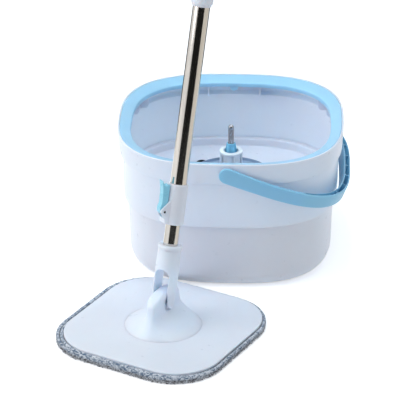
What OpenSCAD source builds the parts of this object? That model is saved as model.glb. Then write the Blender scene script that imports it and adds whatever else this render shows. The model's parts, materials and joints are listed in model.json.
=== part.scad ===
// Square-head spin mop with its self-washing bucket.
// The origin is the centre of the bucket's base, +Z is up, and lengths are in millimetres.

/* [Bucket] */
// Half length of the rim opening, along X
rim_half_x = 170.4; // [155:0.1:200]
// Half width of the rim opening, along Y
rim_half_y = 166; // [150:0.1:195]
// Squareness of the bucket's plan, where 2 is an ellipse
plan_power = 2.8; // [2.4:0.1:3.6]
// Height of the bucket
bucket_h = 217.5; // [205:0.5:240]
// Wall thickness of the bucket
bucket_wall = 2.6; // [2:0.1:3.4]
// Floor thickness of the bucket
bucket_floor_t = 3; // [2:0.1:5]
// Thickness of the lip that stands around the rim ring
lip_t = 2.8; // [1.2:0.1:3]
// Height of the wide band at the top
top_band_h = 34.5; // [30:0.5:42]
// Draft of the top band over its height
top_band_draft = 2.2; // [0.5:0.1:4]
// Step from the top band in to the middle band
top_step = 5; // [3:0.1:8]
// Height of the slope inside the step, under the ring
band_slope_h = 5; // [1:0.1:8]
// Draft of the middle band over its height
mid_band_draft = 1.1; // [0.2:0.1:3]
// Height of the step that carries the tray
tray_step_z = 107.5; // [85:0.5:112]
// Step from the middle band in to the lower body
tray_step = 6.3; // [4:0.1:9]
// Draft of the lower body over its height
low_body_draft = 2.8; // [0.5:0.1:6]
// Radius of the bottom edge
foot_r = 25; // [12:0.5:40]

/* [Rim ring] */
// Thickness of the ring at its outer edge
ring_edge_t = 3; // [2:0.1:5]
// Width of the ring at the front and back, from the lip in to the opening
ring_w = 19.9; // [16:0.1:26]
// Width of the ring at the bucket's ends, along X
ring_end_w = 16.9; // [14:0.1:26]
// How far the ring's face falls towards the opening
ring_fall = 7; // [3:0.1:9]
// Depth of the skirt around the opening
ring_skirt_h = 6.5; // [4:0.1:9]
// Thickness of the ring's face and skirt
ring_t = 2; // [1.5:0.1:2.6]
// Gap between the ring and the lip
ring_gap = 0.4; // [0.2:0.05:0.8]
// Radius of the tab under the ring at the back
ring_tab_r = 6.5; // [4:0.1:9]
// Thickness of the gussets that carry the ring
gusset_t = 2.5; // [1.5:0.1:4]
// Distances of the gussets from the middle of each side
gusset_inner = 41; // [30:1:50]
// Distance of the second gusset
gusset_middle = 79; // [65:1:88]
// Distance of the third gusset
gusset_outer = 104; // [95:1:112]

/* [Separator tray] */
// Thickness of the tray's flange
tray_flange_t = 2; // [1.5:0.1:3]
// Thickness of the tray's floor
tray_floor_t = 2.4; // [1.8:0.1:4]
// Depth of the tray's floor below its flange
tray_depth = 12.1; // [5:0.1:14]
// Gap between the tray and the bucket
tray_gap = 0.5; // [0.3:0.1:1]
// Radius of the drain hole in the tray
drain_r = 7; // [5:0.1:9]
// Wall of the rubber ring that lines the drain hole
drain_ring_t = 0.8; // [0.6:0.1:2]
// Width of the rubber ring's flange around the hole
drain_ring_flange = 1.3; // [1:0.1:3]
// Drain hole's place along X
drain_x = -49; // [-60:1:-46]
// Drain hole's place along Y
drain_y = 84; // [76:1:90]
// Depth of the drain spout below the tray
drain_spout_h = 16; // [8:1:25]
// Radius of the spindle boss
boss_r = 12; // [10.5:0.1:16]
// Height of the spindle boss above the tray's floor
boss_above = 9; // [7:0.1:10]
// Depth of the spindle boss below the tray's floor
boss_below = 36; // [28:0.5:45]

/* [Spindle] */
// Radius of the steel spindle's exposed end
spindle_r = 4.5; // [3.5:0.05:4.8]
// How much thicker the spindle is inside the hub and the bushes
spindle_shoulder = 0.75; // [0.6:0.05:1]
// Height of the spindle's tip above the base
spindle_top_z = 205; // [198:0.5:205]
// Radius of the spindle's domed tip
spindle_tip_h = 3.8; // [2:0.1:4]
// Running clearance between the spindle and its bushes
bush_fit = 0.05; // [0.02:0.01:0.09]
// Outer radius of the bushes
bush_r = 7; // [6:0.1:8]
// Length of each bush inside the boss
bush_len = 12; // [8:0.5:14]
// Radius of the bushes' flanges
bush_flange_r = 9; // [8.5:0.1:10]
// Thickness of the bushes' flanges
bush_flange_t = 1.5; // [1:0.1:2]
// Axial play of the turning seat
seat_play = 0.3; // [0.2:0.05:0.5]
// Thickness of the washer under the lower bush
spindle_washer_t = 1.5; // [1:0.1:2.5]
// Radius of that washer
spindle_washer_r = 7.5; // [6:0.1:9]

/* [Wash turntable] */
// Radius of the wash disc
disc_r = 64; // [56:0.5:80]
// Thickness of the wash disc
disc_t = 3; // [2:0.1:4]
// Height of the raised edge above the disc's underside
disc_edge_h = 7.4; // [3.5:0.1:9]
// Width of the raised edge
disc_edge_w = 1.8; // [1.2:0.1:3]
// Number of pump vanes under the disc
vane_count = 8; // [4:1:12]
// Height of the pump vanes
vane_h = 6; // [3:0.1:7]
// Thickness of the pump vanes
vane_t = 1.8; // [1.2:0.1:3]
// Radius of the water holes around the cage
water_hole_r = 3; // [2:0.1:4]
// Radius of the hub's flange under the disc
hub_flange_r = 21; // [19.5:0.5:26]
// Thickness of the hub's flange
hub_flange_t = 2.7; // [2:0.1:4]
// Radius of the hub's core
hub_core_r = 6.7; // [6.2:0.1:7.4]
// Height of the hub's top above the base
hub_top_z = 174.9; // [170:0.1:178]
// Number of drive fins on the hub
fin_count = 6; // [4:1:8]
// Thickness of the drive fins
fin_t = 2.4; // [1.6:0.1:3.2]
// Reach of the drive fins at the cage's top
fin_r = 8.8; // [8:0.1:10.4]
// Outer radius of the cage
cage_r = 18; // [16:0.1:20]
// Wall thickness of the cage
cage_wall = 2.5; // [1.8:0.1:3]
// Height of the cage's top above the base
cage_top_z = 162.6; // [155:0.1:166]
// Radius of the hole in the cage's top
cage_hole_r = 11; // [10.6:0.1:13]
// Height of the cage's closed top band
cage_band_h = 3.6; // [3:0.1:10]
// Number of posts around the cage
post_count = 4; // [3:1:8]
// Turn of the posts about the spindle, in degrees
post_turn = -24; // [-45:1:45]
// Width of each post
post_w = 4; // [2:0.1:5]
// Wall thickness of the sleeve inside the posts
cage_sleeve_t = 1.4; // [1:0.1:2]
// Gap between that sleeve and the drive fins
cage_sleeve_gap = 1.6; // [0.6:0.1:2]

/* [Bail] */
// Drop of the bail's pivots below the bucket's top
bail_pivot_drop = 16.5; // [13.5:0.5:19]
// Reach of the bail from its pivots to the outside of the grip
bail_reach = 194.8; // [190:0.1:215]
// Thickness of the bail at the grip
bail_grip_t = 10.7; // [8:0.1:14]
// Thickness of the bail's legs at the pivots
bail_leg_t = 5.2; // [4:0.1:7]
// Gap between the bucket's boss and the bail's leg
bail_side_gap = 0.3; // [0.2:0.05:0.6]
// Height of the bosses that stand out from the bucket at the pivots
bail_boss_h = 1.8; // [1.4:0.1:7]
// Squareness of the bail's plan
bail_power = 3.1; // [2.8:0.1:3.6]
// Half width of the strap at the grip
strap_half = 10.5; // [8:0.1:12]
// Half width of the strap at the pivots
strap_end_r = 12.4; // [11.5:0.1:13.5]
// Half width of the strap where its round ends run out
strap_neck = 11.2; // [9:0.1:11.4]
// Distance of that place from the pivots
strap_neck_at = 52; // [40:1:80]
// Wall thickness of the grip's channel
channel_wall = 2.1; // [1.5:0.1:3]
// Where the channel starts, measured out from the pivots
channel_from = 122; // [100:1:150]
// Spacing of the ribs in the channel
channel_rib_gap = 36; // [20:1:50]
// Radius of the pegs that the bail turns on
peg_r = 5; // [3.5:0.1:6]
// Running clearance of the pegs in the bucket
peg_fit = 0.06; // [0.02:0.01:0.09]
// Radius of the push-on clips inside the bucket
clip_r = 8; // [7:0.1:8]
// Thickness of the clips
clip_t = 2; // [1:0.1:2.5]
// How far the bail hangs below level at rest, in degrees
bail_droop = 21.4; // [15:0.1:21.4]

/* [Mop head] */
// Place of the mop head's middle along X
mop_x = -90.3; // [-120:1:-60]
// How far the mop head's back edge lies behind the line of the bucket's front rim
mop_tuck = 24.1; // [0:0.1:28]
// Turn of the mop head about the upright, in degrees
mop_yaw = -27.94; // [-45:0.01:0]
// Side of the square plate
plate_side = 252.5; // [230:0.5:270]
// Corner radius of the plate
plate_corner = 70.7; // [50:0.1:90]
// Height of the plate's top above the floor
plate_top_z = 13; // [12:0.1:16]
// Thickness of the plate
plate_t = 4; // [3:0.1:4.6]
// Radius of the dome's foot
dome_r = 57.3; // [50:0.1:64]
// Depth of the recess that the dome's foot sits in
dome_seat_h = 1.5; // [1:0.1:2]
// Gap around the dome's foot
dome_gap = 0.3; // [0.2:0.05:0.6]
// Height of the dome above the plate
dome_h = 57.8; // [55:0.1:62]
// Half thickness of the web between the prongs
web_half_t = 10.6; // [8.6:0.1:11]
// Half width of the web at the pivot
web_half_w = 36.5; // [30:0.1:38]
// Height of the pivot above the floor
pivot_z = 52; // [50:0.5:54]
// Radius of the recess around the prong tips
dome_pocket_r = 13; // [11:0.1:15]
// Depth of that recess in the web
dome_pocket_depth = 3; // [1.5:0.1:4]
// Radius of the pivot pin
pivot_pin_r = 2.5; // [2:0.05:3]
// Running clearance of the pivot pin in the prongs
pivot_fit = 0.05; // [0.02:0.01:0.09]
// Clearance of the spindle in the head's socket
socket_clear = 0.15; // [0.1:0.05:0.4]
// Radius of the socket's recess for the hub
socket_recess_r = 10.5; // [10.4:0.1:12]
// Radius of the boss that rests on the cage
socket_boss_r = 17; // [15:0.1:18]
// Height of that boss's face above the floor
socket_face_z = 4.6; // [3.6:0.1:5]
// Number of screws that hold the dome
dome_screw_count = 4; // [3:1:6]
// Distance of those screws from the middle
dome_screw_ring = 30; // [27:0.5:34]
// Radius of those screws
dome_screw_r = 1.6; // [1.2:0.1:2]

/* [Pad] */
// Height of the looped pile
pile_h = 6.4; // [4:0.1:6.6]
// How far the pad stands out beyond the plate, on average
pile_out = 9.8; // [7:0.1:12]
// How far the pad sits off the plate's middle, along the plate
pad_slip_x = -0.9; // [-3:0.1:3]
// The same, across the plate
pad_slip_y = -4.2; // [-4.5:0.1:3]
// Thickness of the woven backing
backing_t = 1.2; // [0.8:0.1:1.4]
// Radius of the bound edge
binding_r = 2.4; // [1.6:0.1:2.8]
// Radius of the hole in the middle of the pad
pad_hole_r = 24; // [22:0.5:28]
// Length of each hook strip
hook_len = 70; // [40:1:90]
// Width of each hook strip
hook_w = 22; // [12:1:30]

/* [Fork and inner tube] */
// Lean of the pole from upright, in degrees
pole_lean = 15.1; // [5:0.1:20]
// Half of the gap between the prongs
prong_gap_half = 11.8; // [10.3:0.1:12]
// Radius of the prong tips
prong_tip_r = 9; // [7:0.1:9.5]
// Outer radius of the fork at the prongs
fork_r = 17.9; // [16.5:0.1:20]
// Outer radius of the fork at its neck
fork_neck_r = 17; // [15.5:0.1:17]
// Outer radius of the fork's lip
fork_lip_r = 18; // [17.2:0.1:20]
// Height of the fork's lip
fork_lip_h = 6; // [3:0.1:9]
// Height of the arch above the pivot
arch_h = 50; // [44:0.5:52]
// Length of the fork above the pivot
fork_len = 85.7; // [80:0.5:95]
// Depth of the inner tube in the fork
tube_seat_depth = 30; // [20:0.5:33]
// Outer radius of the inner tube
inner_tube_r = 11; // [9.5:0.1:11.1]
// Wall of the inner tube
inner_tube_wall = 0.8; // [0.6:0.1:1.2]
// Height of the inner tube's top above the pivot
inner_tube_top = 400; // [380:1:400]
// Radius of the fork's screw
fork_screw_r = 1.5; // [1.2:0.1:2]

/* [Outer pole] */
// Outer radius of the outer tube
outer_tube_r = 12.5; // [12.4:0.1:13.2]
// Wall of the outer tubes
outer_tube_wall = 0.5; // [0.4:0.05:0.6]
// Gap between the fork and the lock sleeve at rest
pump_gap = 32.3; // [27.2:0.1:36]
// Height of the lock sleeve
sleeve_h = 60.4; // [56:0.1:75]
// Outer radius of the lock sleeve
sleeve_r = 15; // [14.2:0.1:16.5]
// Height of the sleeve's inner lip, which the outer tube stands on
sleeve_lip_h = 10.6; // [5:0.1:12]
// Top of the pumping part above the pivot, at the coupling
coupling_at = 472; // [468:1:500]
// Length of the coupling collar
collar_len = 60; // [55:1:80]
// Outer radius of the coupling collar
collar_r = 16; // [14:0.1:18]
// Length of the upper tube
upper_tube_len = 656; // [500:1:700]
// Running clearance of the sliding bushes
slide_fit = 0.05; // [0.02:0.01:0.09]
// Length of each sliding bush
slide_bush_len = 16; // [12:0.5:24]
// Length of the grip
grip_len = 150; // [110:1:180]
// Outer radius of the grip
grip_r = 15.5; // [14:0.1:17]
// Height of the hanging eye above the grip
eye_h = 36; // [34:1:44]
// Radius of the hanging hole
eye_hole_r = 8; // [6:0.1:9]
// Thickness of the hanging eye
eye_t = 10; // [7:0.1:13]

/* [Spin drive] */
// Width of the twisted drive strip
rod_w = 8; // [6:0.1:8.6]
// Thickness of the drive strip
rod_t = 2.6; // [2:0.1:3]
// Length of the drive strip
rod_len = 332; // [300:1:334]
// Length of one full twist
rod_pitch = 110; // [90:1:140]
// Clearance of the strip in the drive nut
nut_clear = 0.9; // [0.6:0.1:1]
// Radius of the drive nut
nut_r = 7; // [6.6:0.1:7.6]
// Height of the drive nut
nut_h = 14; // [10:0.5:16]
// Thickness of the nut's driving plate
nut_plate_t = 3; // [2:0.1:3.4]
// Radius of the stop at the end of the strip
rod_stop_r = 7.5; // [6.6:0.1:9]
// Length of the plug that holds the strip
plug_len = 36; // [30:0.5:40]
// Radius of the coupling's threaded stud
stud_r = 5; // [4:0.1:6]
// Length of the coupling's threaded stud
stud_len = 16; // [12:0.5:18]

/* [Lock lever] */
// Direction of the lever around the pole, from the pivot pin's axis, in degrees
lever_dir = 235; // [200:1:260]
// Distance of the lever's pin from the pole's axis
lever_pin_out = 19.9; // [19:0.1:20.5]
// Height of the lever's pin above the sleeve's foot
lever_pin_up = 18.6; // [18:0.1:22]
// Radius of the lever's pin
lever_pin_r = 1.75; // [1.4:0.05:2]
// Half width of the lever
lever_half_w = 6; // [5:0.1:6.5]
// Thickness of each cheek beside the lever
cheek_t = 2.4; // [2:0.1:4]
// Gap between the lever and each cheek
cheek_gap = 0.4; // [0.3:0.05:0.6]
// Reach of the cheeks from the pole's axis
cheek_reach = 26.9; // [26:0.1:28]
// Height of the lever above its pin
lever_h = 49; // [44:0.1:53]
// Reach of the lever's waist from the pole's axis
lever_waist = 24.8; // [23:0.1:26]
// Reach of the lever's tip from the pole's axis
lever_reach = 29; // [26:0.1:31]
// Thickness of the lever's skin
lever_skin = 3; // [2:0.1:4]

/* [Hidden] */

$fn = 64;
plan_steps = 72;
eps = 0.01;

// Bucket offsets, measured inwards from the rim opening's plan.
lip_off = -(lip_t + ring_gap);
top_band_off = lip_off + top_band_draft;
mid_band_off = top_band_off + top_step;
mid_low_off = mid_band_off + mid_band_draft;
low_body_off = mid_low_off + tray_step;
foot_off = low_body_off + low_body_draft;
top_band_z = bucket_h - top_band_h;
ledge_z = bucket_h - ring_edge_t;
ledge_off = top_band_off + bucket_wall;
gusset_z = top_band_z + bucket_wall;
shoulder_z = tray_step_z + bucket_wall;
bail_pivot_z = bucket_h - bail_pivot_drop;
bail_wall_off = lip_off + top_band_draft * (bucket_h - bail_pivot_z) / top_band_h;

// Rim ring.
ring_drop_z = bucket_h - ring_fall;
ring_under_z = ring_drop_z - ring_t;
ring_skirt_z = ring_drop_z - ring_skirt_h;
ring_locate_h = 2.6;
ring_seat_off = ledge_off + ring_gap;
ring_locate_off = ring_seat_off + ring_t;

// Separator tray.
tray_top_z = shoulder_z + tray_flange_t;
tray_floor_z = tray_top_z - tray_depth;
tray_wall_off = low_body_off + bucket_wall + tray_gap;
boss_top_z = tray_floor_z + boss_above;
boss_foot_z = tray_floor_z - boss_below;
spindle_foot_z = boss_foot_z - bush_flange_t - seat_play;
journal_r = spindle_r + spindle_shoulder;

// Turning seat.
hub_foot_z = boss_top_z + bush_flange_t + seat_play;
disc_z = hub_foot_z + hub_flange_t;
disc_top_z = disc_z + disc_t;
cage_base_h = 5.5;
screw_head_h = 2.6;

// Bail.
leg_in_y = rim_half_y - bail_wall_off + bail_boss_h + bail_side_gap;
bail_half_y = leg_in_y + bail_leg_t;
wall_in_y = rim_half_y - ledge_off;
peg_tip_y = wall_in_y - clip_t - 1.5;
channel_floor = -strap_half + channel_wall;

// Mop head.
plate_z = plate_top_z - plate_t;
hook_t = plate_z - pile_h - backing_t;
plate_half = plate_side / 2;
head_reach = (plate_half - plate_corner) * (cos(mop_yaw) + abs(sin(mop_yaw))) + plate_corner;
mop_y = mop_tuck - rim_half_y - head_reach;
dome_top_z = plate_top_z + dome_h;
socket_recess_top = socket_face_z + hub_top_z - cage_top_z + 0.5;
socket_top = socket_face_z + spindle_top_z - cage_top_z + 0.5;
pin_bite = 2.5;

// Pole heights, measured from the pivot along the pole.
tube_foot = fork_len - tube_seat_depth;
sleeve_foot = fork_len + pump_gap;
sleeve_top = sleeve_foot + sleeve_h;
outer_tube_foot = sleeve_foot + sleeve_lip_h;
plug_foot = coupling_at - plug_len;
rod_top = plug_foot + 12;
rod_foot = rod_top - rod_len;
upper_tube_foot = coupling_at + 2;
upper_tube_top = upper_tube_foot + upper_tube_len;
collar_foot = coupling_at - collar_len / 2 - 0.6;
grip_top = upper_tube_top + 5;
nut_seat = inner_tube_top - nut_h - 6;
outer_bore_r = outer_tube_r - outer_tube_wall;
inner_bore_r = inner_tube_r - inner_tube_wall;
fork_screw_at = tube_foot + 12;
lever_pin_at = sleeve_foot + lever_pin_up;
cheek_out = lever_half_w + cheek_gap + cheek_t;

// One corner of the bucket's rounded-square plan at a given direction.
function plan_point(half_x, half_y, power, turn) =
    let (reach = pow(pow(abs(cos(turn)) / half_x, power) + pow(abs(sin(turn)) / half_y, power), -1 / power))
    [reach * cos(turn), reach * sin(turn)];

// The plan that lies a given distance inside the rim opening.
function plan(off, steps = plan_steps) =
    [for (i = [0 : steps - 1]) plan_point(rim_half_x - off, rim_half_y - off, plan_power, 360 * i / steps)];

// Points of a quarter arc from one offset and height to another, bulging outwards and down.
function edge_arc(off, z, r, steps, back = false) =
    [for (i = [0 : steps])
        let (turn = 90 * (back ? steps - i : i) / steps)
        [off + r * (1 - sin(turn)), z + r * (1 - cos(turn))]];

// The ring's plan at an offset from the lip: past its locating rim it narrows less along X than along Y.
function ring_plan(off, steps = plan_steps) =
    let (end_off = off <= ring_locate_off ? off :
        ring_locate_off + (off - ring_locate_off) * (ring_end_w - ring_locate_off) / (ring_w - ring_locate_off))
    [for (i = [0 : steps - 1])
        plan_point(rim_half_x - end_off, rim_half_y - off, plan_power, 360 * i / steps)];

// Skin of plan outlines, given as [offset, height]; a closed one joins its last outline to its first.
module plan_skin(levels, closed = false) {
    rings = len(levels);
    points = [for (level = levels) for (p = closed ? ring_plan(level[0]) : plan(level[0])) [p[0], p[1], level[1]]];
    spans = closed ? rings : rings - 1;
    sides = [for (k = [0 : spans - 1]) for (i = [0 : plan_steps - 1])
        let (a = k * plan_steps, b = ((k + 1) % rings) * plan_steps, j = (i + 1) % plan_steps)
        [a + i, b + i, b + j, a + j]];
    foot = [for (i = [0 : plan_steps - 1]) i];
    top = [for (i = [plan_steps - 1 : -1 : 0]) (rings - 1) * plan_steps + i];
    polyhedron(points = points, faces = closed ? sides : concat(sides, [foot, top]), convexity = 10);
}

// Hollow round tube from one height to another.
module tube(outer, inner, z0, z1) {
    difference() {
        translate([0, 0, z0]) cylinder(r = outer, h = z1 - z0);
        translate([0, 0, z0 - 1]) cylinder(r = inner, h = z1 - z0 + 2);
    }
}

module disc(r, z0, z1) {
    translate([0, 0, z0]) cylinder(r = r, h = z1 - z0);
}

// Round bar along Y, centred on a height.
module bar_y(r, y0, y1, z) {
    translate([0, y0, z]) rotate([-90, 0, 0]) cylinder(r = r, h = y1 - y0);
}

// Round bar along X, centred on a height.
module bar_x(r, x0, x1, z) {
    translate([x0, 0, z]) rotate([0, 90, 0]) cylinder(r = r, h = x1 - x0);
}

// Square with round corners, drawn flat.
module rounded_square(half, corner) {
    square([2 * half, 2 * (half - corner)], center = true);
    square([2 * (half - corner), 2 * half], center = true);
    for (sx = [-1, 1], sy = [-1, 1])
        translate([sx * (half - corner), sy * (half - corner)]) circle(r = corner, $fn = 96);
}

module both_sides() {
    children();
    mirror([0, 1, 0]) children();
}

// Frames of the mop.
module head_frame() {
    translate([mop_x, mop_y, 0]) rotate([0, 0, mop_yaw]) children();
}

module pole_frame() {
    head_frame() translate([0, 0, pivot_z]) rotate([-pole_lean, 0, 0]) children();
}

module lever_frame() {
    pole_frame() rotate([0, 0, lever_dir]) children();
}

module bail_frame() {
    translate([0, 0, bail_pivot_z]) rotate([0, bail_droop, 0]) children();
}

// ---- Bucket ----

module gusset_strips() {
    for (s = [-1, 1], d = [gusset_inner, gusset_middle, gusset_outer]) {
        translate([s * d - gusset_t / 2, -2 * rim_half_y]) square([gusset_t, 4 * rim_half_y]);
        translate([-2 * rim_half_x, s * d - gusset_t / 2]) square([4 * rim_half_x, gusset_t]);
    }
}

module ring_gussets() {
    gusset_top_z = ring_under_z - 0.5;
    translate([0, 0, gusset_z - eps]) linear_extrude(gusset_top_z - gusset_z) intersection() {
        difference() {
            polygon(plan(ledge_off - 0.6));
            polygon(ring_plan(ring_w - ring_t - 2));
        }
        gusset_strips();
    }
}

module bucket_shell() {
    outer = concat(
        edge_arc(foot_off, 0, foot_r, 5),
        [[low_body_off, tray_step_z], [mid_low_off, tray_step_z],
         [mid_band_off, top_band_z], [top_band_off, top_band_z],
         [lip_off, bucket_h - 0.8], [lip_off + 0.6, bucket_h]]);
    inner = concat(
        [[-ring_gap, bucket_h], [-ring_gap, ledge_z], [ledge_off, ledge_z],
         [ledge_off, gusset_z + band_slope_h], [mid_band_off + bucket_wall, gusset_z],
         [mid_low_off + bucket_wall, shoulder_z], [low_body_off + bucket_wall, shoulder_z]],
        edge_arc(foot_off + bucket_wall, bucket_floor_t, foot_r - bucket_wall, 4, true));
    color("aliceblue") difference() {
        union() {
            plan_skin(concat(outer, inner));
            ring_gussets();
            both_sides()
                bar_y(strap_end_r - 0.6, rim_half_y + ring_gap + 0.1, leg_in_y - bail_side_gap, bail_pivot_z);
        }
        bar_y(peg_r + peg_fit, -leg_in_y - 1, leg_in_y + 1, bail_pivot_z);
    }
}

module rim_ring() {
    skirt_off = ring_w - ring_t;
    face_slope = ring_fall / ring_w;
    color("skyblue") union() {
        plan_skin([
            [0, ledge_z], [0, bucket_h - 0.7], [0.8, bucket_h],
            [ring_w - 1.6, ring_drop_z + 0.5], [ring_w, ring_drop_z - 1], [ring_w, ring_skirt_z],
            [skirt_off, ring_skirt_z], [skirt_off, ring_under_z],
            [ring_locate_off, ledge_z - face_slope * (ring_locate_off - ring_seat_off)],
            [ring_locate_off, ledge_z - ring_locate_h],
            [ring_seat_off, ledge_z - ring_locate_h], [ring_seat_off, ledge_z]
        ], closed = true);
        intersection() {
            bar_y(ring_tab_r, rim_half_y - ring_w, rim_half_y - skirt_off - 0.3, ring_skirt_z);
            translate([-ring_tab_r, 0, ring_skirt_z - ring_tab_r])
                cube([2 * ring_tab_r, rim_half_y, ring_tab_r + 1]);
        }
    }
}

// ---- Separator tray and spindle ----

module separator_tray() {
    flange_off = mid_low_off + bucket_wall + tray_gap;
    color("aliceblue") difference() {
        union() {
            plan_skin([
                [tray_wall_off + 2, tray_floor_z - tray_floor_t], [tray_wall_off, tray_floor_z - tray_floor_t + 2],
                [tray_wall_off, shoulder_z], [flange_off, shoulder_z], [flange_off, tray_top_z],
                [tray_wall_off + tray_floor_t, tray_top_z], [tray_wall_off + tray_floor_t + 1, tray_floor_z]
            ]);
            disc(boss_r, boss_foot_z, boss_top_z);
            translate([drain_x, drain_y, tray_floor_z - drain_spout_h])
                cylinder(r = drain_r + tray_floor_t, h = drain_spout_h - eps);
        }
        disc(bush_r, boss_foot_z - 1, boss_top_z + 1);
        translate([drain_x, drain_y, tray_floor_z - drain_spout_h - 1])
            cylinder(r = drain_r, h = drain_spout_h + 2);
    }
}

module drain_ring() {
    color("dimgray") translate([drain_x, drain_y, 0]) difference() {
        union() {
            disc(drain_r, tray_floor_z - tray_floor_t, tray_floor_z);
            disc(drain_r + drain_ring_flange, tray_floor_z, tray_floor_z + drain_ring_t);
        }
        disc(drain_r - drain_ring_t, tray_floor_z - tray_floor_t - 1, tray_floor_z + drain_ring_t + 1);
    }
}

module spindle_bush(face_z, up) {
    color("ivory") difference() {
        union() {
            disc(bush_r, up ? face_z - bush_len : face_z, up ? face_z : face_z + bush_len);
            disc(bush_flange_r, up ? face_z : face_z - bush_flange_t, up ? face_z + bush_flange_t : face_z);
        }
        disc(journal_r + bush_fit, face_z - bush_len - 2, face_z + bush_len + 2);
    }
}

module upper_bush() {
    spindle_bush(boss_top_z, true);
}

module lower_bush() {
    spindle_bush(boss_foot_z, false);
}

module spindle_pin() {
    shank_top = spindle_top_z - spindle_tip_h;
    color("silver") difference() {
        union() {
            disc(journal_r, spindle_foot_z, hub_top_z);
            disc(spindle_r, hub_top_z - eps, shank_top);
            translate([0, 0, shank_top]) rotate_extrude() intersection() {
                scale([spindle_r, spindle_r]) circle(r = 1, $fn = 64);
                square([spindle_r, spindle_tip_h]);
            }
        }
        disc(dome_screw_r, spindle_foot_z - 1, spindle_foot_z + bush_len);
    }
}

module spindle_washer() {
    color("silver") tube(spindle_washer_r, dome_screw_r, spindle_foot_z - spindle_washer_t, spindle_foot_z);
}

module spindle_screw() {
    seat = spindle_foot_z - spindle_washer_t;
    color("silver") difference() {
        union() {
            disc(dome_screw_r, seat, spindle_foot_z + bush_len - 1);
            disc(2 * dome_screw_r, seat - screw_head_h, seat);
        }
        translate([0, 0, seat - screw_head_h - 1]) cylinder(r = dome_screw_r, h = 2.4, $fn = 6);
    }
}

module drive_hub() {
    fin_foot_r = cage_hole_r - 0.4;
    color("skyblue") difference() {
        union() {
            disc(hub_flange_r, hub_foot_z, disc_z);
            disc(cage_r - cage_wall - 1, disc_z - eps, disc_top_z + 1);
            disc(hub_core_r, disc_z, hub_top_z);
            for (i = [0 : fin_count - 1]) rotate([0, 0, 360 * i / fin_count])
                rotate([90, 0, 0]) translate([0, 0, -fin_t / 2]) linear_extrude(fin_t)
                    polygon([[journal_r + 0.4, disc_top_z], [fin_foot_r, disc_top_z],
                             [fin_r, cage_top_z], [hub_core_r + 0.2, hub_top_z], [journal_r + 0.4, hub_top_z]]);
        }
        disc(journal_r, hub_foot_z - 1, hub_top_z + 1);
    }
}

module wash_disc() {
    hole_ring = (cage_r + disc_r) / 3.4;
    color("lightsteelblue") difference() {
        union() {
            disc(disc_r, disc_z, disc_top_z);
            tube(disc_r, disc_r - disc_edge_w, disc_z, disc_z + disc_edge_h);
            for (i = [0 : vane_count - 1]) rotate([0, 0, 360 * i / vane_count])
                translate([hub_flange_r + 1, -vane_t / 2, disc_z - vane_h])
                    cube([disc_r - hub_flange_r - 9, vane_t, vane_h + eps]);
        }
        disc(cage_r - cage_wall - 1, disc_z - 1, disc_top_z + 1);
        for (i = [0 : post_count - 1]) rotate([0, 0, 360 * (i + 0.5) / post_count])
            translate([hole_ring, 0, disc_z - 1]) cylinder(r = water_hole_r, h = disc_t + 2);
    }
}

module cage_collar() {
    inside = cage_r - cage_wall;
    half_turn = 180 / post_count;
    apex = post_w / 2 / sin(half_turn);
    far = 2 * cage_r;
    sleeve_in = cage_hole_r - 0.4 + cage_sleeve_gap;
    color("white", 0.6) difference() {
        rotate_extrude($fn = 96) polygon([
            [inside, disc_top_z], [cage_r, disc_top_z], [cage_r, cage_top_z - 1], [cage_r - 1, cage_top_z],
            [cage_hole_r + 0.6, cage_top_z], [cage_hole_r, cage_top_z - 0.6], [cage_hole_r, cage_top_z - cage_wall],
            [sleeve_in, cage_top_z - cage_wall], [sleeve_in, disc_top_z + 1.2],
            [sleeve_in + cage_sleeve_t, disc_top_z + 1.2], [sleeve_in + cage_sleeve_t, cage_top_z - cage_wall],
            [inside, cage_top_z - cage_wall]]);
        for (i = [0 : post_count - 1]) rotate([0, 0, 2 * half_turn * i + post_turn])
            translate([0, 0, disc_top_z + cage_base_h])
                linear_extrude(cage_top_z - cage_band_h - disc_top_z - cage_base_h) difference() {
                    polygon([[apex, 0], [apex + far * cos(half_turn), far * sin(half_turn)],
                             [apex + far * cos(half_turn), -far * sin(half_turn)]]);
                    circle(r = sleeve_in + cage_sleeve_t + 0.2, $fn = 96);
                }
    }
}

// ---- Bail ----

// Half of the bail's plan, a given distance inside its outer face at the grip and at the legs.
module bail_plan(grip_in, leg_in) {
    steps = 60;
    polygon(concat(
        [for (i = [0 : steps])
            plan_point(bail_reach - grip_in, bail_half_y - leg_in, bail_power, 180 * i / steps - 90)],
        [[-strap_end_r, bail_half_y - leg_in], [-strap_end_r, leg_in - bail_half_y]]));
}

// Side view of the strap: a round end at the pivot that tapers to the grip.
module strap_side() {
    rotate([90, 0, 0]) translate([0, 0, -bail_half_y - 1]) linear_extrude(2 * bail_half_y + 2) {
        circle(r = strap_end_r);
        polygon([[0, -strap_end_r], [strap_neck_at, -strap_neck], [bail_reach + 1, -strap_half],
                 [bail_reach + 1, strap_half], [strap_neck_at, strap_neck], [0, strap_end_r]]);
    }
}

module bail_channel() {
    translate([0, 0, channel_floor]) linear_extrude(2 * strap_end_r) difference() {
        bail_plan(channel_wall, channel_wall);
        bail_plan(bail_grip_t - channel_wall, bail_leg_t - 0.4);
        translate([-2 * bail_reach + channel_from, -bail_half_y - 1])
            square([2 * bail_reach, 2 * bail_half_y + 2]);
        rib_room = bail_half_y - channel_rib_gap / 2;
        for (y = [0 : channel_rib_gap : rib_room], s = [-1, 1])
            translate([channel_from, s * y - channel_wall / 2]) square([bail_reach, channel_wall]);
    }
}

module bail_handle() {
    color("cornflowerblue") bail_frame() union() {
        difference() {
            intersection() {
                translate([0, 0, -strap_end_r - 1]) linear_extrude(2 * strap_end_r + 2) difference() {
                    bail_plan(0, 0);
                    bail_plan(bail_grip_t, bail_leg_t);
                }
                strap_side();
            }
            bail_channel();
        }
        both_sides() bar_y(peg_r, peg_tip_y, leg_in_y + 1, 0);
    }
}

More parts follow.
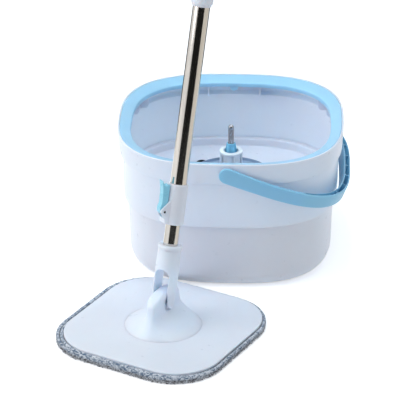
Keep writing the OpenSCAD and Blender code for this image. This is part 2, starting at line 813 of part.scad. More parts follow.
module bail_clips() {
    color("white") bail_frame() both_sides() difference() {
        bar_y(clip_r, wall_in_y - bail_side_gap - clip_t, wall_in_y - bail_side_gap, 0);
        bar_y(peg_r, peg_tip_y - 1, wall_in_y + 1, 0);
    }
}

// ---- Mop head ----

module mop_plate() {
    edge = 1.2;
    color("aliceblue") head_frame() difference() {
        union() {
            translate([0, 0, plate_z]) linear_extrude(plate_t - edge) rounded_square(plate_half, plate_corner);
            translate([0, 0, plate_top_z - edge - eps]) linear_extrude(edge + eps)
                rounded_square(plate_half - edge / 2, plate_corner - edge / 2);
        }
        disc(dome_r + dome_gap, plate_top_z - dome_seat_h, plate_top_z + 1);
        disc(socket_boss_r + dome_gap, plate_z - 1, plate_top_z + 1);
        dome_screw_places() disc(dome_screw_r + 0.2, plate_z - 1, plate_top_z + 1);
        dome_screw_places() disc(2 * dome_screw_r + 0.3, plate_z - 1, plate_z + dome_screw_r);
    }
}

module dome_screw_places() {
    for (i = [0 : dome_screw_count - 1])
        rotate([0, 0, 360 * (i + 0.5) / dome_screw_count]) translate([dome_screw_ring, 0, 0]) children();
}

// Half thickness and half width of the dome at a height, and how square its plan is there.
function dome_flare(z, foot, neck, neck_z, power) =
    let (left = max(0, 1 - (z - plate_top_z) / (neck_z - plate_top_z))) neck + (foot - neck) * pow(left, power);
function dome_cap(z) =
    let (up = max(0, (z - pivot_z) / (dome_top_z + 0.05 - pivot_z))) pow(1 - pow(up, 2.2), 1 / 2.2);
function dome_half_t(z) =
    let (up = max(0, (z - dome_top_z + 9) / 9.4))
    dome_flare(z, dome_r, web_half_t, pivot_z - 8, 2.2) * pow(1 - pow(up, 3), 1 / 3);
function dome_half_w(z) = dome_flare(z, dome_r, web_half_w, pivot_z, 1.7) * dome_cap(z);
function dome_power(z) = 2 + 1.8 * min(1, (z - plate_top_z) / 28);

module dome_skin() {
    steps = 48;
    climb = [0, 0.6, 1.6, 3, 5, 8, 11.5, 15.5, 20, 25, 30, 35, 40, 44.5, 48, 51, 53.5, 55.4, 56.8, dome_h];
    heights = [for (c = climb) plate_top_z + min(c, dome_h) * 1];
    rings = len(heights);
    points = concat(
        [for (i = [0 : steps - 1])
            plan_point3(dome_r, dome_r, 2, 360 * i / steps, plate_top_z - dome_seat_h)],
        [for (z = heights) for (i = [0 : steps - 1])
            plan_point3(dome_half_t(z), dome_half_w(z), dome_power(z), 360 * i / steps, z)]);
    sides = [for (k = [0 : rings - 1]) for (i = [0 : steps - 1])
        let (j = (i + 1) % steps) [k * steps + i, (k + 1) * steps + i, (k + 1) * steps + j, k * steps + j]];
    foot = [for (i = [0 : steps - 1]) i];
    top = [for (i = [steps - 1 : -1 : 0]) rings * steps + i];
    polyhedron(points = points, faces = concat(sides, [foot, top]), convexity = 8);
}

function plan_point3(half_x, half_y, power, turn, z) =
    let (p = plan_point(half_x, half_y, power, turn)) [p[0], p[1], z];

module knuckle_dome() {
    pocket_floor = web_half_t - dome_pocket_depth;
    color("aliceblue") head_frame() difference() {
        union() {
            dome_skin();
            disc(socket_boss_r, socket_face_z, plate_top_z);
        }
        for (s = [0, 1]) mirror([s, 0, 0])
            bar_x(dome_pocket_r, pocket_floor, dome_r, pivot_z);
        bar_x(pivot_pin_r, -dome_r, dome_r, pivot_z);
        disc(socket_recess_r, socket_face_z - 1, socket_recess_top);
        disc(spindle_r + socket_clear, socket_face_z - 1, socket_top);
        dome_screw_places() disc(dome_screw_r, plate_top_z - dome_seat_h - 1, plate_top_z + 4);
    }
}

module dome_screws() {
    color("silver") head_frame() dome_screw_places() union() {
        disc(dome_screw_r, plate_z + 0.4, plate_top_z + 3.6);
        disc(2 * dome_screw_r, plate_z + 0.1, plate_z + dome_screw_r);
    }
}

module pivot_pin() {
    reach = prong_gap_half + pin_bite;
    color("dimgray") head_frame() bar_x(pivot_pin_r, -reach, reach, pivot_z);
}

module hook_strips() {
    out = plate_half * 0.68;
    color("white") head_frame() for (i = [0 : 3]) rotate([0, 0, 90 * i])
        translate([out - hook_w / 2, -hook_len / 2, plate_z - hook_t]) cube([hook_w, hook_len, hook_t]);
}

// ---- Pad ----

module pad_place() {
    translate([pad_slip_x, pad_slip_y, 0]) children();
}

module pad_sheet(z, h, out) {
    pad_place() translate([0, 0, z]) linear_extrude(h) difference() {
        rounded_square(plate_half + out, plate_corner + out);
        circle(r = pad_hole_r);
    }
}

module pad_backing() {
    color("lightgray") head_frame() pad_sheet(pile_h, backing_t, pile_out - 2 * binding_r - 0.3);
}

module pad_pile() {
    edge = 1.6;
    color("gray") head_frame() union() {
        pad_sheet(0, edge, pile_out - edge);
        pad_sheet(edge - eps, pile_h - edge + eps, pile_out);
    }
}

module pad_binding() {
    path_half = plate_half + pile_out - binding_r;
    path_corner = plate_corner + pile_out - binding_r;
    straight = path_half - path_corner;
    bead_z = pile_h + binding_r;
    color("gainsboro") head_frame() pad_place() translate([0, 0, bead_z]) for (i = [0 : 3]) rotate([0, 0, 90 * i]) {
        translate([path_half, -straight, 0]) rotate([-90, 0, 0]) cylinder(r = binding_r, h = 2 * straight, $fn = 24);
        translate([straight, straight, 0]) rotate_extrude(angle = 90, $fn = 96)
            translate([path_corner, 0]) circle(r = binding_r, $fn = 24);
    }
}

// ---- Fork, inner tube and drive nut ----

module fork_body() {
    rotate_extrude($fn = 96) polygon([
        [0, -prong_tip_r - 1], [fork_neck_r - 1, -prong_tip_r - 1], [fork_r, arch_h / 2], [fork_r - 0.3, arch_h],
        [fork_neck_r, fork_len - fork_lip_h - 1], [fork_neck_r - 0.5, fork_len - fork_lip_h - 0.7],
        [fork_neck_r - 0.5, fork_len - fork_lip_h], [fork_lip_r - 0.4, fork_len - fork_lip_h],
        [fork_lip_r, fork_len - fork_lip_h + 0.6], [fork_lip_r, fork_len - 1], [fork_lip_r - 1, fork_len],
        [0, fork_len]
    ]);
}

// Side view of the prongs: round tips that widen to the full fork.
module fork_side() {
    rotate([90, 0, 90]) translate([0, 0, -fork_lip_r - 1]) linear_extrude(2 * fork_lip_r + 2) {
        circle(r = prong_tip_r);
        polygon([[-prong_tip_r, 0], [prong_tip_r, 0], [prong_tip_r + 2.6, 14], [fork_r + 0.5, arch_h],
                 [fork_lip_r + 1, arch_h + 6], [fork_lip_r + 1, fork_len + 1],
                 [-fork_lip_r - 1, fork_len + 1], [-fork_lip_r - 1, arch_h + 6],
                 [-fork_r - 0.5, arch_h], [-prong_tip_r - 2.6, 14]]);
    }
}

module prong_gap() {
    crown = arch_h - prong_gap_half;
    translate([-prong_gap_half, -fork_lip_r - 1, -prong_tip_r - 2])
        cube([2 * prong_gap_half, 2 * fork_lip_r + 2, crown + prong_tip_r + 2]);
    bar_y(prong_gap_half, -fork_lip_r - 1, fork_lip_r + 1, crown);
}

module fork_socket() {
    color("aliceblue") pole_frame() difference() {
        intersection() {
            fork_body();
            fork_side();
        }
        prong_gap();
        bar_x(pivot_pin_r + pivot_fit, -prong_gap_half - pin_bite - 0.3, prong_gap_half + pin_bite + 0.3, 0);
        disc(inner_tube_r, tube_foot, fork_len + 1);
        bar_y(fork_screw_r, 0, fork_lip_r + 1, fork_screw_at);
        bar_y(2 * fork_screw_r, fork_neck_r - 2, fork_lip_r + 1, fork_screw_at);
    }
}

module fork_screw() {
    color("silver") pole_frame() union() {
        bar_y(fork_screw_r, inner_bore_r - 1.2, fork_neck_r - 1.5, fork_screw_at);
        bar_y(2 * fork_screw_r - 0.1, fork_neck_r - 2, fork_neck_r - 0.3, fork_screw_at);
    }
}

module inner_tube() {
    color("silver") pole_frame() difference() {
        tube(inner_tube_r, inner_bore_r, tube_foot, inner_tube_top);
        bar_y(fork_screw_r, 0, inner_tube_r + 1, fork_screw_at);
    }
}

module nut_housing() {
    room_top = nut_seat + nut_h + 0.4;
    color("whitesmoke") pole_frame() difference() {
        union() {
            disc(inner_bore_r, nut_seat - 4, inner_tube_top);
            disc(inner_tube_r, inner_tube_top, inner_tube_top + 2);
        }
        disc(nut_r + bush_fit, nut_seat, room_top);
        disc(nut_r - 1.2, nut_seat - 5, inner_tube_top + 3);
    }
}

module tube_glide() {
    color("white") pole_frame()
        tube(outer_bore_r - slide_fit, inner_tube_r, inner_tube_top - slide_bush_len, inner_tube_top);
}

module drive_nut() {
    color("orange") pole_frame() difference() {
        disc(nut_r, nut_seat + 0.2, nut_seat + nut_h);
        disc(nut_r - 1.6, nut_seat + nut_plate_t + 0.2, nut_seat + nut_h + 1);
        rotate([0, 0, rod_turn(nut_seat + 0.2 + nut_plate_t / 2)])
            translate([-rod_w / 2 - nut_clear, -rod_t / 2 - nut_clear, nut_seat - 1])
                cube([rod_w + 2 * nut_clear, rod_t + 2 * nut_clear, nut_plate_t + 2]);
    }
}

// ---- Outer pole ----

module outer_tube() {
    color("silver") pole_frame() tube(outer_tube_r, outer_bore_r, outer_tube_foot, coupling_at);
}

module guide_bush() {
    color("white") pole_frame()
        tube(outer_bore_r, inner_tube_r + slide_fit, outer_tube_foot, outer_tube_foot + slide_bush_len);
}

// Outline of the cheeks that hold the lever's pin, seen along the pin.
module cheek_outline() {
    polygon([[sleeve_r - 7, sleeve_foot + 0.6], [sleeve_r + 3, sleeve_foot + 1], [sleeve_r + 4.4, sleeve_foot + 3.4],
             [sleeve_r + 4, sleeve_foot + 6.4], [lever_pin_out + 1.4, lever_pin_at - 8.8],
             [cheek_reach - 0.4, lever_pin_at - 0.2], [cheek_reach, lever_pin_at + 1.4],
             [cheek_reach - 0.5, lever_pin_at + 2.6], [sleeve_r - 6, lever_pin_at + 22.6]]);
}

module sleeve_top_edge() {
    translate([0, 0, sleeve_top]) rotate_extrude($fn = 96)
        polygon([[sleeve_r - 0.8, 0.1], [sleeve_r + 1, 0.1], [sleeve_r + 1, -0.8], [sleeve_r, -0.8]]);
}

module lock_sleeve() {
    cam_room = [sleeve_r, 2 * (lever_half_w + cheek_gap), lever_h + 30];
    color("aliceblue") lever_frame() difference() {
        union() {
            disc(sleeve_r, sleeve_foot, sleeve_top);
            difference() {
                rotate([90, 0, 0]) translate([0, 0, -cheek_out]) linear_extrude(2 * cheek_out) cheek_outline();
                translate([outer_tube_r + 0.2, -cam_room[1] / 2, sleeve_foot - 1]) cube(cam_room);
            }
        }
        disc(outer_tube_r, outer_tube_foot, sleeve_top + 1);
        disc(inner_tube_r + 0.4, sleeve_foot - 1, sleeve_top);
        translate([outer_tube_r + 0.2, -cam_room[1] / 2, lever_pin_at - 8.5])
            cube([sleeve_r, cam_room[1], 17]);
        lever_pin_hole();
        sleeve_top_edge();
    }
}

module lever_pin_hole() {
    translate([lever_pin_out, 0, 0]) bar_y(lever_pin_r, -cheek_out - 1, cheek_out + 1, lever_pin_at);
}

module lever_pin() {
    color("dimgray") lever_frame() translate([lever_pin_out, 0, 0])
        bar_y(lever_pin_r, -cheek_out + 0.2, cheek_out - 0.2, lever_pin_at);
}

module lock_lever() {
    foot = lever_pin_at;
    back = sleeve_r + 0.5;
    bulge = cheek_reach + 0.1;
    color("mediumturquoise") lever_frame() difference() {
        rotate([90, 0, 0]) translate([0, 0, -lever_half_w]) linear_extrude(2 * lever_half_w) union() {
            translate([lever_pin_out, foot]) circle(r = 3.4);
            polygon([[lever_pin_out + 1.4, foot - 4.6], [bulge - 1.8, foot - 1.8], [bulge, foot + 3],
                     [bulge - 0.2, foot + 6], [lever_waist, foot + 12], [lever_waist + 0.4, foot + 28],
                     [lever_reach - 2.4, foot + lever_h - 10], [lever_reach, foot + lever_h],
                     [lever_reach - lever_skin, foot + lever_h - 6], [lever_waist - lever_skin, foot + lever_h - 11],
                     [back + 2, foot + lever_h - 8], [back, foot + lever_h - 10],
                     [back, foot + 8], [back + 0.3, foot - 1.6], [lever_pin_out - 1, foot - 4.4]]);
        }
        translate([lever_pin_out, 0, 0])
            bar_y(lever_pin_r + pivot_fit, -lever_half_w - 1, lever_half_w + 1, lever_pin_at);
    }
}

// Turn of the drive strip at a height above the pivot, in degrees.
function rod_turn(z) = -360 * (z - rod_foot) / rod_pitch;

module drive_rod() {
    slices = ceil(rod_len / rod_pitch * 20);
    color("silver") pole_frame() translate([0, 0, rod_foot])
        linear_extrude(rod_len, twist = 360 * rod_len / rod_pitch, slices = slices, segments = 12)
            square([rod_w, rod_t], center = true);
}

module rod_stop() {
    color("white") pole_frame() disc(rod_stop_r, rod_foot - 4, rod_foot);
}

module rod_plug() {
    color("white") pole_frame() difference() {
        disc(outer_bore_r, plug_foot, coupling_at);
        disc(norm([rod_w, rod_t]) / 2 + 0.05, plug_foot - 1, rod_top);
        disc(stud_r, coupling_at - stud_len - 1, coupling_at + 1);
    }
}

module coupling_stud() {
    color("white") pole_frame() union() {
        disc(stud_r, coupling_at - stud_len, coupling_at + 1);
        disc(outer_tube_r, coupling_at, upper_tube_foot);
        disc(outer_bore_r, upper_tube_foot, upper_tube_foot + plug_len);
    }
}

module coupling_collar() {
    bore = outer_tube_r;
    top = collar_foot + collar_len;
    color("aliceblue") pole_frame() rotate_extrude($fn = 96) polygon([
        [bore, collar_foot], [bore + 0.6, collar_foot], [collar_r - 0.8, collar_foot + 4.5],
        [collar_r, collar_foot + 8], [collar_r, top - 6], [collar_r - 1.6, top], [bore, top]]);
}

module upper_tube() {
    color("silver") pole_frame() tube(outer_tube_r, outer_bore_r, upper_tube_foot, upper_tube_top);
}

module pole_grip() {
    foot = grip_top - grip_len;
    step = grip_len / 10;
    color("skyblue") pole_frame() rotate_extrude($fn = 96) polygon(concat(
        [[outer_tube_r, foot], [outer_tube_r + 1, foot], [grip_r, foot + 6]],
        [for (i = [2 : 8]) for (d = [0, 0.5]) [grip_r - (d == 0 ? 0 : 0.8), foot + step * (i + d)]],
        [[grip_r, grip_top], [outer_tube_r, grip_top]]));
}

module hanging_cap() {
    eye_z = grip_top + eye_h - eye_hole_r - 6;
    color("aliceblue") pole_frame() difference() {
        union() {
            disc(outer_bore_r, upper_tube_top - 15, upper_tube_top);
            disc(outer_tube_r, upper_tube_top - eps, grip_top);
            disc(grip_r, grip_top, grip_top + 6);
            bar_x(eye_hole_r + 6, -eye_t / 2, eye_t / 2, eye_z);
            translate([-eye_t / 2, -eye_hole_r - 6, grip_top + 5])
                cube([eye_t, 2 * eye_hole_r + 12, eye_z - grip_top - 5]);
        }
        bar_x(eye_hole_r, -eye_t, eye_t, eye_z);
    }
}

bucket_shell();
rim_ring();
separator_tray();
drain_ring();
upper_bush();
lower_bush();
spindle_pin();
spindle_washer();
spindle_screw();
drive_hub();
wash_disc();
cage_collar();
bail_handle();
bail_clips();
mop_plate();
knuckle_dome();
dome_screws();
pivot_pin();
hook_strips();
pad_backing();
pad_pile();
pad_binding();
fork_socket();
fork_screw();
inner_tube();
nut_housing();
tube_glide();
drive_nut();
outer_tube();
guide_bush();
lock_sleeve();
lever_pin();
lock_lever();
drive_rod();
rod_stop();
rod_plug();
coupling_stud();
coupling_collar();
upper_tube();
pole_grip();
hanging_cap();
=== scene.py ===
import json
import math
import random

import bmesh
import bpy
from bpy.props import FloatProperty, FloatVectorProperty, IntProperty, PointerProperty
from mathutils import Matrix, Vector


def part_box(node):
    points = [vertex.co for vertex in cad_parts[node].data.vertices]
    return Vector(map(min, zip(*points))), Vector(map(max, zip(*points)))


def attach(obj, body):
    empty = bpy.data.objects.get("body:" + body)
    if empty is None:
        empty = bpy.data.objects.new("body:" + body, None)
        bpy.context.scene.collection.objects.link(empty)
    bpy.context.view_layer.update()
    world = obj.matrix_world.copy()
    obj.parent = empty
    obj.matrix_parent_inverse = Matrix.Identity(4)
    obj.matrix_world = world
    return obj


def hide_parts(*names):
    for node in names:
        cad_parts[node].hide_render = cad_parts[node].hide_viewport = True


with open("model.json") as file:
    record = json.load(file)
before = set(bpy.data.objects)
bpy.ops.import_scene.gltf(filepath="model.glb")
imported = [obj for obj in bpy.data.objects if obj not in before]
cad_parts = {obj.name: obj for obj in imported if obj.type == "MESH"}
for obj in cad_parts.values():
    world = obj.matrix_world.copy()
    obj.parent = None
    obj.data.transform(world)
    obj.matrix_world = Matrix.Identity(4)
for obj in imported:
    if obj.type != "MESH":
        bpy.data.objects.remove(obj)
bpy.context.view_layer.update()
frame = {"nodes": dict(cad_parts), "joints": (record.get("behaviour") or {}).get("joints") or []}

bl_info = {
    "name": "Spin mop and bucket",
    "version": (1, 0, 0),
    "blender": (4, 5, 0),
    "location": "View3D > Sidebar > Spin mop",
    "description": "Dresses a square-head spin mop and its washing bucket",
    "category": "Object",
}

# Lengths in the making functions are millimetres in a piece's own frame; Blender's are metres.
MM = 0.001
WHITE = (1.0, 1.0, 1.0, 1.0)
JOINTS = {joint["name"]: joint for joint in frame["joints"]}


# ---- Colour and node helpers ----


def linear(hex_colour):
    """An sRGB hex colour as linear red, green and blue."""
    parts = [int(hex_colour[i : i + 2], 16) / 255 for i in (1, 3, 5)]
    return tuple(c / 12.92 if c <= 0.04045 else ((c + 0.055) / 1.055) ** 2.4 for c in parts)


def rgba(colour):
    return (*colour[:3], 1.0)


def add_node(tree, kind, inputs=None, **settings):
    """Adds a node. inputs maps a socket's name or number to a value, to the output socket to link or to
    a node, which stands for its first output in use."""
    node = tree.nodes.new(kind)
    for key, value in settings.items():
        setattr(node, key, value)
    for key, value in (inputs or {}).items():
        if isinstance(value, bpy.types.Node):
            value = next(output for output in value.outputs if output.enabled)
        if isinstance(value, bpy.types.NodeSocket):
            tree.links.new(value, node.inputs[key])
        else:
            node.inputs[key].default_value = value
    return node


def new_material(name):
    """The tree of a new, empty node material."""
    material = bpy.data.materials.new(name)
    material.use_nodes = True
    material.node_tree.nodes.clear()
    return material.node_tree


def seen_directly(tree):
    """1 for the camera and for what metal, gloss and clear pieces show of the surroundings."""
    rays = add_node(tree, "ShaderNodeLightPath").outputs
    seen = rays["Is Camera Ray"]
    for ray in ("Is Glossy Ray", "Is Transmission Ray"):
        seen = add_node(tree, "ShaderNodeMath", {0: seen, 1: rays[ray]}, operation="MAXIMUM")
    return seen


def per_mm(period):
    """Texture scale whose pattern repeats about every so many millimetres."""
    return 1 / (period * MM)


# ---- Mesh helpers ----


def place_object(name, data):
    """Links a new object to the scene."""
    obj = bpy.data.objects.new(name, data)
    bpy.context.scene.collection.objects.link(obj)
    return obj


class Build:
    """Collects points and faces, in millimetres, into one mesh."""

    def __init__(self):
        self.points = []
        self.faces = []

    def add(self, part, place=None):
        points, faces = part
        first = len(self.points)
        self.points += [place @ Vector(p) if place else Vector(p) for p in points]
        self.faces += [[first + i for i in face] for face in faces]
        return self

    def object(self, name):
        mesh = bpy.data.meshes.new(name)
        mesh.from_pydata([tuple(p) for p in self.points], [], self.faces)
        work = bmesh.new()
        work.from_mesh(mesh)
        bmesh.ops.recalc_face_normals(work, faces=work.faces)
        work.to_mesh(mesh)
        work.free()
        return place_object(name, mesh)


def solid(name, part, place=None):
    """One object from one part."""
    return Build().add(part, place).object(name)


def moved(x, y, z):
    return Matrix.Translation((x, y, z))


def about(degrees, axis="Z"):
    return Matrix.Rotation(math.radians(degrees), 4, axis)


def skin(rows, loop=False):
    """A skin over rows of points that each run round; a loop joins its last row to its first."""
    count = len(rows[0])
    points = [p for row in rows for p in row]
    faces = []
    for k in range(len(rows) if loop else len(rows) - 1):
        a, b = k * count, ((k + 1) % len(rows)) * count
        for i in range(count):
            j = (i + 1) % count
            faces.append([a + i, b + i, b + j, a + j])
    if not loop:
        faces.append(list(range(count)))
        faces.append([(len(rows) - 1) * count + i for i in reversed(range(count))])
    return points, faces


def arc(radius, start, end, steps):
    """Points of an arc about the origin, from one angle to another in degrees."""
    angles = [math.radians(start + (end - start) * i / steps) for i in range(steps + 1)]
    return [(radius * math.cos(a), radius * math.sin(a)) for a in angles]


def rounded(corners, closed=False, steps=6):
    """A path through (x, y, radius) corners, each rounded to its radius."""
    path = []
    count = len(corners)
    for i, (x, y, radius) in enumerate(corners):
        corner = Vector((x, y))
        if radius <= 0 or (not closed and i in (0, count - 1)):
            path.append(corner)
            continue
        back = Vector(corners[i - 1][:2]) - corner
        ahead = Vector(corners[(i + 1) % count][:2]) - corner
        half = back.angle(ahead) / 2
        reach = min(radius / math.tan(half), 0.49 * back.length, 0.49 * ahead.length)
        radius = reach * math.tan(half)
        middle = corner + (back.normalized() + ahead.normalized()).normalized() * radius / math.sin(half)
        start = corner + back.normalized() * reach - middle
        end = corner + ahead.normalized() * reach - middle
        sweep = math.pi - 2 * half
        for k in range(steps + 1):
            t = k / steps
            share = math.sin((1 - t) * sweep) * start + math.sin(t * sweep) * end
            path.append(middle + share / math.sin(sweep))
    return path


def circle(radius, z, steps):
    return [
        (radius * math.cos(2 * math.pi * i / steps), radius * math.sin(2 * math.pi * i / steps), z)
        for i in range(steps)
    ]


def lathe(profile, steps=96, loop=False):
    """A round solid from its (radius, height) profile; a loop is a ring."""
    return skin([circle(max(r, 0.01), z, steps) for r, z in profile], loop=loop)


def turned(corners, count=96, fine=5):
    """A turned ring from its section's (radius, height, rounding) corners."""
    return lathe(rounded(corners, closed=True, steps=fine), count, loop=True)


def rod(radius, z0, z1, edge=0.3, steps=48):
    """A round bar along Z with softened ends."""
    return lathe(rounded([(0, z0, 0), (radius, z0, edge), (radius, z1, edge), (0, z1, 0)], steps=3), steps)


def tube(outer, inner, z0, z1, edge=0.3, steps=96):
    """A round tube along Z with softened ends."""
    corners = [(inner, z0, edge / 2), (outer, z0, edge), (outer, z1, edge), (inner, z1, edge / 2)]
    return turned(corners, steps, 3)


def prism(outline, low, high):
    """A flat outline in X and Y carried from one height to another."""
    return skin([[(x, y, low) for x, y in outline], [(x, y, high) for x, y in outline]])


def block(low, high):
    """An upright box between two corners."""
    corners = [(low[0], low[1]), (high[0], low[1]), (high[0], high[1]), (low[0], high[1])]
    return prism(corners, low[2], high[2])


def bake(obj):
    """Applies the modifiers that an object carries."""
    mesh = bpy.data.meshes.new_from_object(obj.evaluated_get(bpy.context.evaluated_depsgraph_get()))
    spent = obj.data
    obj.modifiers.clear()
    obj.data = mesh
    bpy.data.meshes.remove(spent)


def discard(obj):
    """Removes an object and its mesh."""
    mesh = obj.data
    bpy.data.objects.remove(obj)
    bpy.data.meshes.remove(mesh)


def join_into(obj, other):
    """Adds another object's mesh to one, then removes the other."""
    work = bmesh.new()
    work.from_mesh(obj.data)
    work.from_mesh(other.data)
    work.to_mesh(obj.data)
    work.free()
    discard(other)


def combine(obj, how, *parts):
    """Joins (UNION), cuts (DIFFERENCE) or keeps (INTERSECT) with each further part."""
    tools = []
    for number, part in enumerate(parts):
        tool = (part if isinstance(part, Build) else Build().add(part)).object(f"tool_{number}")
        change = obj.modifiers.new("combine", "BOOLEAN")
        change.operation = how
        change.solver = "EXACT"
        change.object = tool
        tools.append(tool)
    bake(obj)
    for tool in tools:
        discard(tool)


def soften(obj, grain, rounds):
    """Rounds every edge of a moulded piece by rebuilding it on a fine grid and relaxing it."""
    rebuild = obj.modifiers.new("rebuild", "REMESH")
    rebuild.mode = "VOXEL"
    rebuild.voxel_size = grain
    rebuild.adaptivity = 0.0
    relax = obj.modifiers.new("relax", "SMOOTH")
    relax.factor = 0.5
    relax.iterations = rounds
    bake(obj)


def bevel(obj, width, segments=2, angle=40):
    """Rounds the edges that are sharper than an angle."""
    edge = obj.modifiers.new("edge", "BEVEL")
    edge.width = width
    edge.segments = segments
    edge.limit_method = "ANGLE"
    edge.angle_limit = math.radians(angle)
    edge.harden_normals = False
    bake(obj)


def finish_piece(obj, place, material, body, replaced, sharp=40):
    """Puts a piece in place, shades it, gives it its finish and ties it to its CAD body."""
    obj.data.transform(Matrix.Scale(MM, 4) @ place)
    obj.data.shade_smooth()
    obj.data.set_sharp_from_angle(angle=math.radians(sharp))
    obj.data.materials.clear()
    obj.data.materials.append(bpy.data.materials[material])
    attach(obj, body)
    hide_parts(*replaced)


# ---- Frames of the pieces, in millimetres ----


def frame_from(origin, x, z):
    x, z = Vector(x).normalized(), Vector(z).normalized()
    y = z.cross(x).normalized()
    x = y.cross(z)
    turn = Matrix((x, y, z)).transposed().to_4x4()
    return Matrix.Translation(Vector(origin)) @ turn


PIVOT = Vector(JOINTS["pole_tilt"]["pos_m"]) / MM
KNUCKLE_X = -Vector(JOINTS["pole_tilt"]["axis"])
POLE_UP = Vector(JOINTS["pump"]["axis"])
BUCKET = Matrix.Identity(4)
HEAD = frame_from((PIVOT.x, PIVOT.y, 0), KNUCKLE_X, (0, 0, 1))
POLE = frame_from(PIVOT, KNUCKLE_X, POLE_UP)
LEVER_SIDE = Vector(JOINTS["lock_swing"]["axis"])
LEVER = frame_from(PIVOT, LEVER_SIDE.cross(POLE_UP), POLE_UP)
LEVER_PIN = LEVER.inverted() @ (Vector(JOINTS["lock_swing"]["pos_m"]) / MM)
BAIL_DROOP = (JOINTS["bail_swing"]["range_deg"][1] - 180) / 2
BAIL_Z = JOINTS["bail_swing"]["pos_m"][2] / MM
BAIL = moved(0, 0, BAIL_Z) @ about(BAIL_DROOP, "Y")
ALONG_X = about(90, "Y")
ALONG_Y = about(-90, "X")
# These stand an outline up: its Y becomes height, and its X runs along X or along Y.
UP_ALONG_X = Matrix(((1, 0, 0, 0), (0, 0, -1, 0), (0, 1, 0, 0), (0, 0, 0, 1)))
UP_ALONG_Y = Matrix(((0, 0, 1, 0), (1, 0, 0, 0), (0, 1, 0, 0), (0, 0, 0, 1)))


def span(node, axis):
    """Lowest and highest value of a CAD node along a world axis, in millimetres."""
    low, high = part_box(node)
    return low[axis] / MM, high[axis] / MM


def pole_span(node):
    """Lowest and highest value of a CAD node along the pole, measured from the pivot."""
    down = POLE.inverted()
    heights = [(down @ (v.co / MM)).z for v in frame["nodes"][node].data.vertices]
    return min(heights), max(heights)


def millimetres(value):
    return value / MM


# ---- Settings ----


def length_setting(name, description, metres):
    return FloatProperty(name=name, description=description, default=metres, unit="LENGTH")


def angle_setting(name, description, degrees):
    return FloatProperty(name=name, description=description, default=math.radians(degrees), subtype="ANGLE")


def colour_setting(name, description, hex_colour):
    return FloatVectorProperty(
        name=name, description=description, default=linear(hex_colour), size=3, min=0, max=1, subtype="COLOR"
    )


class SpinMopBucketSizes(bpy.types.PropertyGroup):
    rim_half_x: length_setting("Rim half length", "Half of the opening along X", span("rim_ring", 0)[1] * MM)
    rim_half_y: length_setting("Rim half width", "Half of the opening along Y", span("rim_ring", 1)[1] * MM)
    height: length_setting("Height", "Height of the bucket", span("bucket_shell", 2)[1] * MM)
    squareness: FloatProperty(
        name="Squareness", description="Power of the rounded-square plan, where 2 is an ellipse", default=2.8
    )
    wall: length_setting("Wall", "Thickness of the bucket's wall", 0.0026)
    foot_radius: length_setting("Foot radius", "Radius of the bucket's bottom edge", 0.025)
    ring_width: length_setting("Ring width", "Width of the blue ring at the front and back", 0.0199)
    ring_end_width: length_setting("Ring end width", "Width of the blue ring at the bucket's ends", 0.0169)
    ring_fall: length_setting("Ring fall", "How far the ring falls towards the opening", 0.007)
    bail_reach: length_setting("Bail reach", "From the bail's pivots to the outside of its grip", 0.1948)
    bail_grip: length_setting("Bail grip", "Thickness of the bail at its grip", 0.0107)


class SpinMopMopSizes(bpy.types.PropertyGroup):
    plate_side: length_setting("Plate side", "Side of the square plate", 0.2525)
    plate_corner: length_setting("Plate corner", "Corner radius of the plate", 0.0707)
    dome_radius: length_setting("Dome radius", "Radius of the dome's foot", 0.0573)
    pad_spread: length_setting("Pad spread", "How far the pad's seam lies outside the plate", 0.0028)
    pad_slip: FloatVectorProperty(
        name="Pad slip",
        description="How far the pad sits off the plate's middle, along and across it",
        default=(-0.0009, -0.0042),
        size=2,
        unit="LENGTH",
    )
    pile_height: length_setting("Pile height", "Height of the pad's looped pile", 0.0064)
    loop_spacing: length_setting("Loop spacing", "Distance between the loops around the pad's edge", 0.0019)
    loop_seed: IntProperty(name="Loop seed", description="Seed of the loops' random lean", default=7)


class SpinMopFinishes(bpy.types.PropertyGroup):
    white_plastic: colour_setting("White plastic", "Bucket, plate, dome and fork", "#E5EDFE")
    ring_blue: colour_setting("Ring blue", "Rim ring", "#A0D2F5")
    bail_blue: colour_setting("Bail blue", "Bail and grip", "#8FC8E8")
    hub_blue: colour_setting("Hub blue", "Finned drive hub", "#7FCAEC")
    disc_grey: colour_setting("Disc grey", "Wash disc", "#8FA3BC")
    cage_clear: colour_setting("Cage", "Translucent cage", "#F0F8FD")
    lever_teal: colour_setting("Lever teal", "Lock lever", "#91D3E8")
    pile_light: colour_setting("Pile, light", "Light microfibre loops", "#DADDE3")
    pile_dark: colour_setting("Pile, dark", "Dark microfibre loops", "#5F5A5C")
    edge_fleck: colour_setting("Edge fleck", "Blue-grey flecks of the bound edge", "#5C7088")


class SpinMopView(bpy.types.PropertyGroup):
    azimuth: angle_setting("Azimuth", "Turn of the view about the upright", 2.645)
    elevation: angle_setting("Elevation", "Height of the view above level", 26.427)
    roll: angle_setting("Roll", "Roll of the view", -0.2655)
    distance: length_setting("Distance", "From the camera to the middle of the view", 4.2216)
    target: FloatVectorProperty(
        name="Target",
        description="Point in the middle of the view",
        default=(-0.048519, 0.0, 0.074938),
        size=3,
        subtype="TRANSLATION",
        unit="LENGTH",
    )
    lens: FloatProperty(name="Lens", description="Focal length in mm, on a 36 mm sensor", default=243.0)


# ---- Finishes ----


